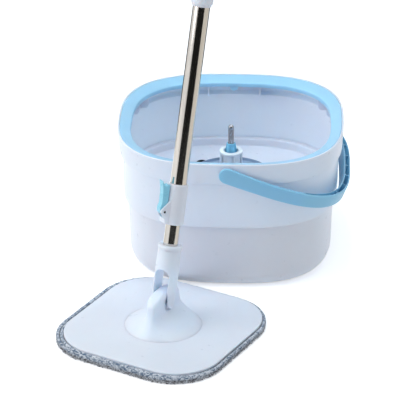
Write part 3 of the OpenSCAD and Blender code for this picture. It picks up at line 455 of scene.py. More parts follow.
def moulded_plastic(name, colour, roughness, grain=0.5, drift=0.03, see_through=0.0, milky=0.0):
    """Injection-moulded polypropylene: even colour, a soft satin sheen that varies a little where
    the plastic flowed and cooled, and a very fine grain from the mould."""
    tree = new_material(name)
    place = add_node(tree, "ShaderNodeTexCoord").outputs["Object"]
    flow = add_node(
        tree, "ShaderNodeTexNoise", {"Vector": place, "Scale": per_mm(55), "Detail": 3.0, "Roughness": 0.55}
    )
    deep, pale = rgba([c * (1 - drift) for c in colour]), rgba([min(1.0, c * (1 + drift)) for c in colour])
    tint = add_node(tree, "ShaderNodeMix", {"Factor": flow, 6: deep, 7: pale}, data_type="RGBA")
    # Scuffs about 12 mm long lift the roughness in places.
    scuffs = add_node(
        tree, "ShaderNodeTexNoise", {"Vector": place, "Scale": per_mm(12), "Detail": 6.0, "Roughness": 0.7}
    )
    smooth, rough = roughness - 0.04, roughness + 0.09
    satin = add_node(
        tree,
        "ShaderNodeMapRange",
        {"Value": scuffs, "From Min": 0.3, "From Max": 0.75, "To Min": smooth, "To Max": rough},
    )
    # Mould grain is about 0.1 mm; it is drawn at a few tenths so that a close view shows it.
    mould = add_node(tree, "ShaderNodeTexNoise", {"Vector": place, "Scale": per_mm(grain), "Detail": 2.0})
    sink = add_node(tree, "ShaderNodeTexNoise", {"Vector": place, "Scale": per_mm(38), "Detail": 1.0})
    ripple = add_node(tree, "ShaderNodeBump", {"Height": sink, "Strength": 0.25, "Distance": 0.0006})
    relief = add_node(
        tree, "ShaderNodeBump", {"Height": mould, "Strength": 0.2, "Distance": 0.00003, "Normal": ripple}
    )
    surface = {"Base Color": tint, "Roughness": satin, "IOR": 1.49, "Normal": relief}
    surface |= {"Transmission Weight": see_through, "Subsurface Weight": milky}
    # Light goes about 12 mm into the milky plastic, and red light less far.
    surface |= {"Subsurface Radius": (0.55, 0.85, 1.0), "Subsurface Scale": 0.012}
    shader = add_node(tree, "ShaderNodeBsdfPrincipled", surface)
    add_node(tree, "ShaderNodeOutputMaterial", {"Surface": shader})


def drawn_steel(name, colour, roughness, along, streak=0.35):
    """Stainless steel tube, drawn and polished: mirror-like round the tube, with faint lengthwise lines."""
    tree = new_material(name)
    place = add_node(tree, "ShaderNodeTexCoord").outputs["Object"]
    turn = POLE_UP.rotation_difference(Vector((0, 0, 1))).to_euler() if along else (0, 0, 0)
    straight = add_node(tree, "ShaderNodeMapping", {"Vector": place, "Rotation": turn})
    # Draw lines lie about 0.4 mm apart and run for several centimetres.
    fine = (per_mm(0.4), per_mm(0.4), per_mm(60))
    drawn = add_node(tree, "ShaderNodeMapping", {"Vector": straight, "Scale": fine})
    lines = add_node(
        tree, "ShaderNodeTexNoise", {"Vector": drawn, "Scale": 1.0, "Detail": 3.0, "Roughness": 0.6}
    )
    smears = add_node(
        tree, "ShaderNodeTexNoise", {"Vector": place, "Scale": per_mm(25), "Detail": 4.0, "Roughness": 0.6}
    )
    both = add_node(tree, "ShaderNodeMix", {"Factor": streak, 2: smears, 3: lines}, data_type="FLOAT")
    smooth, rough = roughness * 0.7, roughness * 1.5
    polish = add_node(
        tree,
        "ShaderNodeMapRange",
        {"Value": both, "From Min": 0.3, "From Max": 0.7, "To Min": smooth, "To Max": rough},
    )
    deep = rgba([c * 0.93 for c in colour])
    tint = add_node(tree, "ShaderNodeMix", {"Factor": lines, 6: deep, 7: rgba(colour)}, data_type="RGBA")
    relief = add_node(tree, "ShaderNodeBump", {"Height": lines, "Strength": 0.12, "Distance": 0.00004})
    surface = {"Base Color": tint, "Metallic": 1.0, "Roughness": polish, "Normal": relief}
    shader = add_node(tree, "ShaderNodeBsdfPrincipled", surface)
    add_node(tree, "ShaderNodeOutputMaterial", {"Surface": shader})


def microfibre(name, light, dark, period, contrast=1.0):
    """Looped polyester and polyamide microfibre: soft, matt and flecked, with a bright fuzz at its edges."""
    tree = new_material(name)
    place = add_node(tree, "ShaderNodeTexCoord").outputs["Object"]
    fleck = add_node(
        tree, "ShaderNodeTexVoronoi", {"Vector": place, "Scale": per_mm(period), "Randomness": 1.0}
    ).outputs["Color"]
    pick = add_node(tree, "ShaderNodeSeparateColor", {"Color": fleck})
    cloud = add_node(tree, "ShaderNodeTexNoise", {"Vector": place, "Scale": per_mm(period * 5), "Detail": 4.0})
    weight = add_node(tree, "ShaderNodeMix", {"Factor": 0.35, 2: pick, 3: cloud}, data_type="FLOAT")
    ends = {"From Min": 0.5 - 0.3 * contrast, "From Max": 0.5 + 0.25 * contrast}
    step = add_node(tree, "ShaderNodeMapRange", {"Value": weight, **ends})
    tint = add_node(tree, "ShaderNodeMix", {"Factor": step, 6: rgba(dark), 7: rgba(light)}, data_type="RGBA")
    # Single fibres are a few micrometres thick; the yarn's twist, about 0.3 mm, is what shows.
    yarn = add_node(
        tree, "ShaderNodeTexNoise", {"Vector": place, "Scale": per_mm(0.3), "Detail": 3.0, "Roughness": 0.7}
    )
    relief = add_node(tree, "ShaderNodeBump", {"Height": yarn, "Strength": 0.6, "Distance": 0.0002})
    surface = {"Base Color": tint, "Roughness": 0.92, "IOR": 1.5, "Normal": relief}
    surface |= {"Sheen Weight": 0.25, "Sheen Roughness": 0.5}
    shader = add_node(tree, "ShaderNodeBsdfPrincipled", surface)
    add_node(tree, "ShaderNodeOutputMaterial", {"Surface": shader})


def woven_tape(name, colour, thread):
    """Woven polyester: over-and-under threads with a dull sheen."""
    tree = new_material(name)
    place = add_node(tree, "ShaderNodeTexCoord").outputs["Object"]
    threads = {"Vector": place, "Scale": per_mm(thread) / 6.3, "Distortion": 0.4}
    warp, weft = (add_node(tree, "ShaderNodeTexWave", threads, bands_direction=axis) for axis in "XY")
    weave = add_node(tree, "ShaderNodeMath", {0: warp, 1: weft}, operation="MULTIPLY")
    deep = rgba([c * 0.7 for c in colour])
    tint = add_node(tree, "ShaderNodeMix", {"Factor": weave, 6: deep, 7: rgba(colour)}, data_type="RGBA")
    relief = add_node(tree, "ShaderNodeBump", {"Height": weave, "Strength": 0.5, "Distance": 0.0002})
    surface = {"Base Color": tint, "Roughness": 0.85, "Sheen Weight": 0.15, "Normal": relief}
    shader = add_node(tree, "ShaderNodeBsdfPrincipled", surface)
    add_node(tree, "ShaderNodeOutputMaterial", {"Surface": shader})


class SPINMOP_OT_finishes(bpy.types.Operator):
    """Makes the finishes that the pieces use"""

    bl_idname = "spinmop.finishes"
    bl_label = "Finishes"

    def execute(self, context):
        look = context.scene.spinmop_finishes
        moulded_plastic("white_polypropylene", look.white_plastic, roughness=0.3, milky=0.5)
        moulded_plastic("ring_polypropylene", look.ring_blue, roughness=0.34, milky=0.4)
        moulded_plastic("bail_polypropylene", look.bail_blue, roughness=0.36, milky=0.25)
        moulded_plastic("hub_polypropylene", look.hub_blue, roughness=0.32)
        moulded_plastic("disc_polypropylene", look.disc_grey, roughness=0.36, drift=0.05)
        moulded_plastic("cage_polypropylene", look.cage_clear, roughness=0.3, see_through=0.12)
        moulded_plastic("lever_polypropylene", look.lever_teal, roughness=0.26)
        moulded_plastic("natural_nylon", linear("#E8E6DC"), roughness=0.45)
        moulded_plastic("orange_acetal", linear("#E59A3C"), roughness=0.35)
        moulded_plastic("soft_grip_rubber", look.bail_blue, roughness=0.6, grain=0.8)
        moulded_plastic("drain_rubber", linear("#0E0E10"), roughness=0.6, grain=0.8)
        drawn_steel("polished_tube_steel", linear("#D9D4CE"), roughness=0.13, along=True)
        drawn_steel("turned_steel", linear("#B9B6B2"), roughness=0.3, along=False)
        drawn_steel("spindle_steel", linear("#A3A3A8"), roughness=0.2, along=False)
        drawn_steel("blackened_pin_steel", linear("#3A3838"), roughness=0.4, along=True)
        drawn_steel("galvanised_strip_steel", linear("#A9ABAA"), roughness=0.38, along=True)
        microfibre("microfibre_pile", look.pile_light, look.pile_dark, period=2.2, contrast=1.0)
        microfibre("microfibre_edge", look.pile_light, look.edge_fleck, period=2.4, contrast=0.8)
        woven_tape("woven_backing", linear("#C9CCD2"), thread=0.9)
        woven_tape("hook_tape", linear("#E6E6E6"), thread=1.2)
        return {"FINISHED"}


# ---- Bucket ----


def plan_point(half_x, half_y, power, turn):
    """A point of the rounded-square plan in a given direction."""
    c, s = math.cos(turn), math.sin(turn)
    reach = (abs(c / half_x) ** power + abs(s / half_y) ** power) ** (-1 / power)
    return reach * c, reach * s


class BucketPlan:
    """The bucket's plan, at offsets measured inwards from the rim opening."""

    def __init__(self, sizes, steps=240):
        self.half_x = millimetres(sizes.rim_half_x)
        self.half_y = millimetres(sizes.rim_half_y)
        self.power = sizes.squareness
        self.steps = steps
        self.ring_width = millimetres(sizes.ring_width)
        self.ring_end = millimetres(sizes.ring_end_width)
        self.locate = BucketLevels(sizes).ring_locate

    def halves(self, off, ring=False):
        """Half sizes of the plan; past its locating rim the ring narrows less along X than along Y."""
        end = off
        if ring and off > self.locate:
            share = (self.ring_end - self.locate) / (self.ring_width - self.locate)
            end = self.locate + (off - self.locate) * share
        return self.half_x - end, self.half_y - off

    def row(self, off, z, ring=False):
        half_x, half_y = self.halves(off, ring)
        turns = [2 * math.pi * i / self.steps for i in range(self.steps)]
        return [(*plan_point(half_x, half_y, self.power, t), z) for t in turns]

    def skin(self, profile, loop=False, ring=False):
        return skin([self.row(off, z, ring) for off, z in profile], loop=loop)

    def reach(self, off, across, along_x, ring=False):
        """Distance from the middle to the plan, at a distance to one side of an axis."""
        far, side = self.halves(off, ring)
        if not along_x:
            far, side = side, far
        return far * (1 - (abs(across) / side) ** self.power) ** (1 / self.power)


class BucketLevels:
    """Heights and offsets that the bucket's pieces share."""

    def __init__(self, sizes):
        wall = millimetres(sizes.wall)
        self.wall = wall
        self.top = millimetres(sizes.height)
        self.lip = -3.2
        self.top_band = -1.0
        self.mid_band = 4.0
        self.mid_low = 5.1
        self.low_body = 11.4
        self.foot = 14.2
        self.step_z = 107.5
        band = 34.5
        self.band_z = self.top - band
        self.ledge_z = self.top - 3.0
        self.ledge = self.top_band + wall
        self.inner_band_z = self.band_z + wall
        self.band_slope = 5.0
        self.shoulder_z = self.step_z + wall
        self.ring_seat = self.ledge + 0.4
        self.ring_locate = self.ring_seat + 2.0
        self.tray_top = self.shoulder_z + 2.0
        self.tray_floor = self.tray_top - 12.1
        self.bail_wall_y = span("rim_ring", 1)[1] - self.lip - 2.2 * (self.top - BAIL_Z) / band
        self.boss_face_y = self.bail_wall_y + 1.8


class SPINMOP_OT_bucket(bpy.types.Operator):
    """Builds the white bucket with its bands, inner gussets and bail bosses"""

    bl_idname = "spinmop.bucket"
    bl_label = "Bucket shell"

    def execute(self, context):
        sizes = context.scene.spinmop_bucket
        plan, at = BucketPlan(sizes), BucketLevels(sizes)
        foot_r = millimetres(sizes.foot_radius)
        floor = 3.0
        profile = rounded(
            [
                (at.foot + 2 * foot_r + 10, 0, 0),
                (at.foot, 0, foot_r),
                (at.low_body, at.step_z, 2.2),
                (at.mid_low, at.step_z, 3.0),
                (at.mid_band, at.band_z, 1.8),
                (at.top_band, at.band_z, 2.6),
                (at.lip, at.top, 0.9),
                (-0.4, at.top, 0.8),
                (-0.4, at.ledge_z, 0.2),
                (at.ledge, at.ledge_z, 0.3),
                (at.ledge, at.inner_band_z + at.band_slope, 1.5),
                (at.mid_band + at.wall, at.inner_band_z, 1.8),
                (at.mid_low + at.wall, at.shoulder_z, 1.2),
                (at.low_body + at.wall, at.shoulder_z, 1.2),
                (at.foot + at.wall, floor, foot_r - at.wall),
                (at.foot + 2 * foot_r + 10, floor, 0),
            ],
            steps=8,
        )
        shell = Build().add(plan.skin(profile))
        self.add_gussets(shell, plan, at)
        boss_r, peg_hole_r, deep = 11.8, 5.1, 3.4
        section = [(peg_hole_r, 0.2, 0), (boss_r, 0, 0), (boss_r, deep, 0.9), (peg_hole_r, deep, 0.5)]
        boss = turned(section, 72, 4)
        for side in (1, -1):
            shell.add(boss, moved(0, side * (at.boss_face_y - deep), BAIL_Z) @ about(-90 * side, "X"))
        bucket = shell.object("white_bucket")
        finish_piece(bucket, BUCKET, "white_polypropylene", "bucket", ["bucket_shell"], 32)
        return {"FINISHED"}

    def add_gussets(self, shell, plan, at):
        """Small fins on the inner shoulder that carry the ring: wide at the top, chamfered at the foot."""
        half = 1.25
        top = at.top - 9.4
        low = at.inner_band_z - 0.3
        for along_x in (True, False):
            for side in (1, -1):
                for distance in (41, 79, 104) if along_x else (41,):
                    for sign in (1, -1):
                        across = sign * distance
                        back = plan.reach(at.ledge - 0.8, across, along_x)
                        front = plan.reach(plan.ring_width - 4, across, along_x, ring=True)
                        corners = [(back, low, 0), (front + 2.5, low, 0.6), (front, low + 5, 0.6)]
                        corners += [(front, top, 0.5), (back, top, 0)]
                        outline = rounded(corners, closed=True, steps=3)
                        sides = (across - half, across + half)
                        fin = skin([[(side * x, y, z) for x, z in outline] for y in sides])
                        shell.add(fin, about(0 if along_x else 90))


class SPINMOP_OT_rim_ring(bpy.types.Operator):
    """Builds the blue ring that sits inside the bucket's lip"""

    bl_idname = "spinmop.rim_ring"
    bl_label = "Rim ring"

    def execute(self, context):
        sizes = context.scene.spinmop_bucket
        plan, at = BucketPlan(sizes), BucketLevels(sizes)
        width, fall = millimetres(sizes.ring_width), millimetres(sizes.ring_fall)
        inner_z = at.top - fall
        skirt_z = inner_z - 6.5
        locate_z = at.ledge_z - 2.6
        under = at.ledge_z - fall / width * 2
        profile = rounded(
            [
                (0, at.ledge_z, 0.3),
                (0, at.top, 1.0),
                (width, inner_z, 2.6),
                (width, skirt_z, 0.8),
                (width - 2, skirt_z, 0.8),
                (width - 2, inner_z - 2, 0.6),
                (at.ring_locate, under, 0.3),
                (at.ring_locate, locate_z, 0.3),
                (at.ring_seat, locate_z, 0.3),
                (at.ring_seat, at.ledge_z, 0.1),
            ],
            closed=True,
            steps=6,
        )
        ring = Build().add(plan.skin(profile, loop=True, ring=True))
        # A small half-round thumb tab hangs from the skirt at the back.
        radius = 6.5
        back = plan.half_y - width
        outline = [(radius, 1.5), (-radius, 1.5)] + arc(radius, 180, 360, 24)
        ring.add(skin([[(x, y, skirt_z + z) for x, z in outline] for y in (back, back + 1.7)]))
        rim = ring.object("blue_rim_ring")
        finish_piece(rim, BUCKET, "ring_polypropylene", "bucket", ["rim_ring"], 35)
        return {"FINISHED"}


class SPINMOP_OT_tray(bpy.types.Operator):
    """Builds the white tray that parts the clean water from the dirty, with its drain and boss"""

    bl_idname = "spinmop.tray"
    bl_label = "Separator tray"

    def execute(self, context):
        sizes = context.scene.spinmop_bucket
        plan, at = BucketPlan(sizes), BucketLevels(sizes)
        drop = at.low_body + at.wall + 0.5
        flange = at.mid_low + at.wall + 0.5
        floor_t = 2.4
        profile = rounded(
            [
                (drop + 30, at.tray_floor - floor_t, 0),
                (drop, at.tray_floor - floor_t, 2.0),
                (drop, at.shoulder_z, 0.3),
                (flange, at.shoulder_z, 0.3),
                (flange, at.tray_top, 0.8),
                (drop + floor_t, at.tray_top, 1.2),
                (drop + floor_t + 1, at.tray_floor, 2.4),
                (drop + 30, at.tray_floor, 0),
            ],
            steps=5,
        )
        tray = Build().add(plan.skin(profile)).object("white_tray")
        drain, drain_r = moved(-49, 84, 0), 7.0
        boss_top, boss_foot = at.tray_floor + 9, at.tray_floor - 36
        combine(
            tray,
            "DIFFERENCE",
            Build().add(rod(drain_r, at.tray_floor - 10, at.tray_floor + 10, steps=72), drain),
            rod(10.5, at.tray_floor - 10, at.tray_floor + 10, steps=72),
        )
        spout = tube(drain_r + 2.4, drain_r, at.tray_floor - 16, at.tray_floor - 0.4, edge=0.6, steps=72)
        extras = Build().add(spout, drain)
        extras.add(tube(12, 7.02, boss_foot, boss_top, edge=0.6, steps=72))
        # A shallow moulded bead runs round the tray's floor outside the disc.
        extras.add(tube(74.6, 73.2, at.tray_floor - 1, at.tray_floor + 0.8, edge=0.6, steps=144))
        join_into(tray, extras.object("tray_extras"))
        finish_piece(tray, BUCKET, "white_polypropylene", "bucket", ["separator_tray"], 35)
        low, top = at.tray_floor - floor_t, at.tray_floor + 0.8
        bore, flange_r = drain_r - 0.8, drain_r + 1.3
        seal = [(bore, low, 0.2), (drain_r, low, 0.2), (drain_r, at.tray_floor, 0.1)]
        seal += [(flange_r, at.tray_floor, 0.1), (flange_r, top, 0.4), (bore, top, 0.4)]
        piece = solid("rubber_drain_ring", turned(seal, 72, 4), drain)
        finish_piece(piece, BUCKET, "drain_rubber", "bucket", ["drain_ring"], 40)
        return {"FINISHED"}


# ---- Spin seat ----


class SPINMOP_OT_seat(bpy.types.Operator):
    """Builds the turning seat: disc, translucent cage, finned hub and steel spindle"""

    bl_idname = "spinmop.seat"
    bl_label = "Spin seat"

    def execute(self, context):
        self.disc()
        self.cage()
        self.hub()
        self.spindle()
        return {"FINISHED"}

    def disc(self):
        low = span("drive_hub", 2)[0] + 2.7
        top = low + 3.0
        radius = span("wash_disc", 0)[1]
        bore, rim, rim_t = 14.5, low + 7.4, 1.8
        section = [(bore, low, 0.2), (radius, low, 0.8), (radius, rim, 0.7)]
        section += [(radius - rim_t, rim, 0.7), (radius - rim_t, top, 1.0), (bore, top, 0.2)]
        plate = solid("wash_turntable", turned(section, 144))
        hole = rod(3, low - 4, top + 4, steps=32)
        places = [about(90 * (i + 0.5)) @ moved(24.1, 0, 0) for i in range(4)]
        combine(plate, "DIFFERENCE", *[Build().add(hole, place) for place in places])
        # Vanes stand below the disc; low ribs on its upper face lead water to the holes.
        vanes = Build()
        for count, start, end, half, edge, foot, head in (
            (8, 22, 56, 0.9, 0.4, low - 6, low + 0.5),
            (6, 33, 60, 0.6, 0.3, top - 0.5, top + 0.8),
        ):
            corners = [(start, -half, edge), (end, -half, edge), (end, half, edge), (start, half, edge)]
            vane = prism(rounded(corners, closed=True, steps=3), foot, head)
            for i in range(count):
                vanes.add(vane, about(360 / count * i))
        join_into(plate, vanes.object("vanes"))
        finish_piece(plate, BUCKET, "disc_polypropylene", "spin_seat", ["wash_disc"], 35)

    def cage(self):
        low, high = span("cage_collar", 2)
        outer = span("cage_collar", 0)[1]
        inner, hole, under = outer - 2.5, 11.0, high - 2.5
        section = [(inner, low, 0.3), (outer, low, 0.4), (outer, high, 1.5)]
        section += [(hole, high, 0.9), (hole, under, 0.6), (inner, under, 0.8)]
        wall = solid("clear_cage", turned(section, 144, 6))
        # Four windows leave four posts, turned a little from the axes.
        apex, reach, post_turn = 2.0 / math.sin(math.radians(45)), 40.0 * math.sin(math.radians(45)), -24
        window = prism([(apex, 0), (apex + reach, -reach), (apex + reach, reach)], low + 5.5, high - 3.6)
        combine(wall, "DIFFERENCE", *[Build().add(window, about(90 * i + post_turn)) for i in range(4)])
        # A plain sleeve stands inside the posts, close around the fins.
        join_into(wall, solid("cage_sleeve", tube(13.6, 12.2, low + 1.2, high - 2.2, edge=0.3, steps=144)))
        bevel(wall, 0.35)
        finish_piece(wall, BUCKET, "cage_polypropylene", "spin_seat", ["cage_collar"], 40)

    def hub(self):
        low, high = span("drive_hub", 2)
        base, cage_top = low + 5.7, span("cage_collar", 2)[1]
        bore, flange_r, seat_r, neck_r, root = 5.26, 21, 14.45, 6.7, 5.7
        section = [(bore, low, 0), (flange_r, low, 0.5), (flange_r, low + 2.7, 0.5), (seat_r, low + 2.7, 0.2)]
        section += [(seat_r, base + 1, 0.5), (neck_r, base + 1, 1.5), (neck_r, high, 0.5), (bore, high, 0.2)]
        hub = Build().add(turned(section, 96, 4))
        corners = [(root, base, 0), (10.6, base, 0.4), (8.8, cage_top, 0.8)]
        corners += [(6.9, high - 0.2, 0.5), (root, high - 0.2, 0)]
        outline = rounded(corners, closed=True, steps=5)
        fin = skin([[(x, y, z) for x, z in outline] for y in (-1.2, 1.2)])
        for i in range(6):
            hub.add(fin, about(60 * i))
        piece = hub.object("finned_hub")
        finish_piece(piece, BUCKET, "hub_polypropylene", "spin_seat", ["drive_hub"], 40)

    def spindle(self):
        low, high = span("spindle_pin", 2)
        journal, radius, dome = 5.25, 4.5, 3.8
        tip, hub_top = high - dome, span("drive_hub", 2)[1]
        # The shank is turned with fine grooves 1.2 mm apart above the hub; the domed tip is polished.
        groove_from, groove_to, pitch = hub_top + 0.8, tip - 1.6, 1.2
        profile = [(0, low), (journal - 0.3, low), (journal, low + 0.3), (journal, hub_top)]
        profile.append((radius, hub_top + 0.02))
        groove = ((0.02, 0.1), (0.45, 0.4), (0.45, 0.65), (0.02, 0.95))
        count = int((groove_to - groove_from) / pitch)
        for i in range(count):
            z = groove_from + pitch * i
            profile += [(radius - cut, z + up) for cut, up in groove]
        profile += [(radius, groove_from + pitch * count), (radius, tip)]
        profile += [(r, tip + z * dome / radius) for r, z in arc(radius, 0, 90, 12)[1:]]
        spindle = solid("grooved_spindle", lathe(profile, 64))
        finish_piece(spindle, BUCKET, "spindle_steel", "spin_seat", ["spindle_pin"], 50)


# ---- Bail ----


class SPINMOP_OT_bail(bpy.types.Operator):
    """Builds the blue bail: strap, grip channel with ribs, and pegs"""

    bl_idname = "spinmop.bail"
    bl_label = "Bail"

    def execute(self, context):
        sizes = context.scene.spinmop_bucket
        at = BucketLevels(sizes)
        self.reach, self.grip = millimetres(sizes.bail_reach), millimetres(sizes.bail_grip)
        self.leg_in = at.boss_face_y + 0.3
        self.side = self.leg_in + 5.2
        self.power = 3.1
        self.end_r, self.strap_half, self.wall, self.floor = 12.4, 10.5, 2.1, -8.4
        self.neck, self.neck_at = 11.2, 52.0
        self.channel_from = 122.0
        strap = Build().add(self.strap())
        for v in (0, 36, 72, 108, 144, -36, -72, -108, -144):
            strap.add(self.rib(v))
        peg_tip = span("rim_ring", 1)[1] - at.ledge - 3.5
        for side in (1, -1):
            strap.add(rod(5, peg_tip, self.leg_in + 1, edge=0.6), about(-90 * side, "X"))
        piece = strap.object("blue_bail")
        finish_piece(piece, BAIL, "bail_polypropylene", "bail", ["bail_handle"], 38)
        return {"FINISHED"}

    def half_width(self, u):
        """Half width of the strap at a distance out from the pivots; a round end lies behind them."""
        if u < 0:
            return math.sqrt(max(self.end_r**2 - u * u, 0.0))
        if u < self.neck_at:
            return self.end_r + (self.neck - self.end_r) * u / self.neck_at
        past = (u - self.neck_at) / (self.reach + 1 - self.neck_at)
        return self.neck + (self.strap_half - self.neck) * past

    def lines(self, turn):
        """Outer face, outer channel wall, inner channel wall and inner face, in one direction of the plan."""
        offsets = [(0, 0), (self.wall, self.wall), (self.grip - self.wall, 4.8)]
        offsets.append((self.grip, self.side - self.leg_in))
        return [Vector(plan_point(self.reach - g, self.side - s, self.power, turn)) for g, s in offsets]

    def section(self, lines, deep, back=0.0):
        """One section across the strap: rounded edges, and the channel where deep is True."""
        outer, wall_out, wall_in, inner = lines
        across = inner - outer
        thick = across.length
        across = across / thick
        half = self.half_width(outer.x - back)
        edge = min(1.9, 0.35 * thick, 0.45 * half + 0.01)
        out_d, in_d = (wall_out - outer).length, (wall_in - outer).length

        def corner(d, w, sd, sw, turns):
            """A rounded corner of the section; turns gives the order of its points."""
            angles = [math.radians(90 * i / 4) for i in turns]
            return [(d + sd * edge * (1 - math.sin(a)), w + sw * edge * (1 - math.cos(a))) for a in angles]

        ahead, behind = range(5), range(4, -1, -1)
        floor = self.floor if deep else half
        out_d, in_d = max(out_d, edge + 0.05), min(in_d, thick - edge - 0.05)
        # The inner wall reaches a little lower where the strap bends round the bucket's end.
        lower = 1.8 * min(max((outer.x - back - self.channel_from) / 25, 0), 1)
        points = corner(0, -half, 1, 1, ahead) + corner(0, half, 1, -1, behind)
        points += [(out_d, half), (out_d + 0.01, floor), (in_d - 0.01, floor), (in_d, half)]
        points += corner(thick, half, -1, -1, ahead) + corner(thick, -half - lower, -1, 1, behind)
        return [(outer.x + across.x * d - back, outer.y + across.y * d, w) for d, w in points]

    def strap(self):
        turns = [math.radians(-90 + 180 * i / 240) for i in range(241)]
        round_end = (12.3, 12.0, 11.3, 10.3, 8.9, 7.0, 4.8, 2.4)
        rows = [self.section(self.lines(turns[0]), False, back) for back in round_end]
        deep = False
        for turn in turns:
            lines = self.lines(turn)
            now = lines[0].x >= self.channel_from
            if now != deep:
                rows.append(self.section(self.lines(turn), deep))
                deep = now
            rows.append(self.section(lines, now))
        rows += [self.section(self.lines(turns[-1]), False, back) for back in reversed(round_end)]
        return skin(rows)

    def rib(self, v):
        """A thin web across the channel, a little lower than its walls."""

        def miss(turn):
            wall = self.lines(turn)[1]
            return abs(wall.y - v) + (1000 if wall.x < self.channel_from else 0)

        best = min((math.radians(-89 + 178 * i / 1780) for i in range(1781)), key=miss)
        wall_out, wall_in = self.lines(best)[1:3]
        across = (wall_in - wall_out).normalized()
        along = Vector((-across.y, across.x)) * 0.9
        a, b = wall_out - across * 0.4, wall_in + across * 0.4
        outline = [tuple(a - along), tuple(b - along), tuple(b + along), tuple(a + along)]
        return prism(outline, self.floor - 0.3, self.strap_half - 2.6)


# ---- Mop head ----


def square_reach(turn, half, corner):
    """Distance from the middle to the edge of a square with round corners, in a given direction."""
    c, s = abs(math.cos(turn)), abs(math.sin(turn))
    k = half - corner
    if c * k >= s * half or (c > 1e-9 and half * s / c <= k):
        return half / c
    if half * c / s <= k:
        return half / s
    dot = k * (c + s)
    return dot + math.sqrt(max(dot * dot - 2 * k * k + corner * corner, 0))


def square_row(half, corner, z, steps, blend=0.0, radius=0.0):
    """Round the square plan at a height, blended towards a circle."""
    row = []
    for i in range(steps):
        turn = 2 * math.pi * i / steps
        reach = square_reach(turn, half, corner)
        reach += (radius - reach) * blend
        row.append((reach * math.cos(turn), reach * math.sin(turn), z))
    return row


class SPINMOP_OT_plate(bpy.types.Operator):
    """Builds the square white plate with the shallow seat for the dome"""

    bl_idname = "spinmop.plate"
    bl_label = "Mop plate"

    def execute(self, context):
        sizes = context.scene.spinmop_mop
        half, corner = millimetres(sizes.plate_side) / 2, millimetres(sizes.plate_corner)
        low, top = span("mop_plate", 2)
        seat_r, bore = millimetres(sizes.dome_radius) + 0.1, 17.5
        steps = 288
        rows = []
        edge = rounded([(60, low, 0), (0, low, 0.9), (0, top, 1.6), (60, top, 0)], steps=6)
        for off, z in edge[1:-1]:
            rows.append(square_row(half - off, corner - min(off, corner), z, steps))
        # The flat top runs in to the dome's seat.
        for t in (0.12, 0.3, 0.5, 0.7, 0.85, 0.95):
            rows.append(square_row(half - 6, corner - 6, top, steps, t, seat_r + 0.3))
        seat = ((seat_r + 0.15, top), (seat_r, top - 0.12), (seat_r, top - 1.5))
        rows += [circle(r, z, steps) for r, z in (*seat, (bore, top - 1.5), (bore, low))]
        rows += [square_row(half - 6, corner - 6, low, steps, t, bore) for t in (0.8, 0.5, 0.2)]
        piece = Build().add(skin(rows, loop=True)).object("square_plate")
        finish_piece(piece, HEAD, "white_polypropylene", "mop_head", ["mop_plate"], 35)
        return {"FINISHED"}


class SPINMOP_OT_dome(bpy.types.Operator):
    """Builds the white dome whose web carries the fork"""

    bl_idname = "spinmop.dome"
    bl_label = "Knuckle dome"

    def execute(self, context):
        foot_r = millimetres(context.scene.spinmop_mop.dome_radius)
        base = span("mop_plate", 2)[1]
        self.base, self.foot_r, self.pivot = base, foot_r, PIVOT.z
        self.top = span("knuckle_dome", 2)[1]
        steps = 192
        heights = [base + (self.top - base) * k / 70 for k in range(71)]
        foot = ((foot_r, base - 1.5), (foot_r, base - 0.2), (foot_r - 0.15, base - 0.02))
        rows = [self.row(r, r, 2, z, steps) for r, z in foot]
        for z in heights[1:]:
            rows.append(self.row(self.half_t(z), self.half_w(z), self.power(z), z, steps))
        dome = Build().add(skin(rows)).object("knuckle_dome_cover")
        pocket = rounded([(0, 0, 0), (13, 0, 0.8), (13, 60, 0), (0, 60, 0)], steps=4)
        cuts = []
        for side in (1, -1):
            turn = moved(side * 7.6, 0, self.pivot) @ about(90 * side, "Y")
            cuts.append(Build().add(lathe(pocket, 96), turn))
        combine(dome, "DIFFERENCE", *cuts)
        sock_face = span("knuckle_dome", 2)[0]
        combine(dome, "UNION", rod(17, sock_face, base - 0.6, edge=0.5, steps=96))
        # The socket: a recess for the finned hub and a bore for the spindle.
        combine(
            dome,
            "DIFFERENCE",
            rod(10.5, sock_face - 2, sock_face + 12.8, edge=0.1, steps=72),
            rod(4.65, sock_face - 2, sock_face + 42.9, edge=0.1, steps=48),
        )
        finish_piece(dome, HEAD, "white_polypropylene", "mop_head", ["knuckle_dome"], 35)
        return {"FINISHED"}

    def row(self, half_t, half_w, power, z, steps):
        return [(*plan_point(half_t, half_w, power, 2 * math.pi * i / steps), z) for i in range(steps)]

    def flare(self, z, neck, neck_z, power):
        left = max(0.0, 1 - (z - self.base) / (neck_z - self.base))
        return neck + (self.foot_r - neck) * left**power

    def half_t(self, z):
        up = max(0.0, (z - self.top + 9) / 9.4)
        return self.flare(z, 10.6, self.pivot - 8, 2.2) * (1 - up**3) ** (1 / 3)

    def half_w(self, z):
        up = max(0.0, (z - self.pivot) / (self.top + 0.05 - self.pivot))
        return self.flare(z, 36.5, self.pivot, 1.7) * (1 - up**2.2) ** (1 / 2.2)

    def power(self, z):
        return 2 + 1.8 * min(1.0, (z - self.base) / 28)


# ---- Pad ----


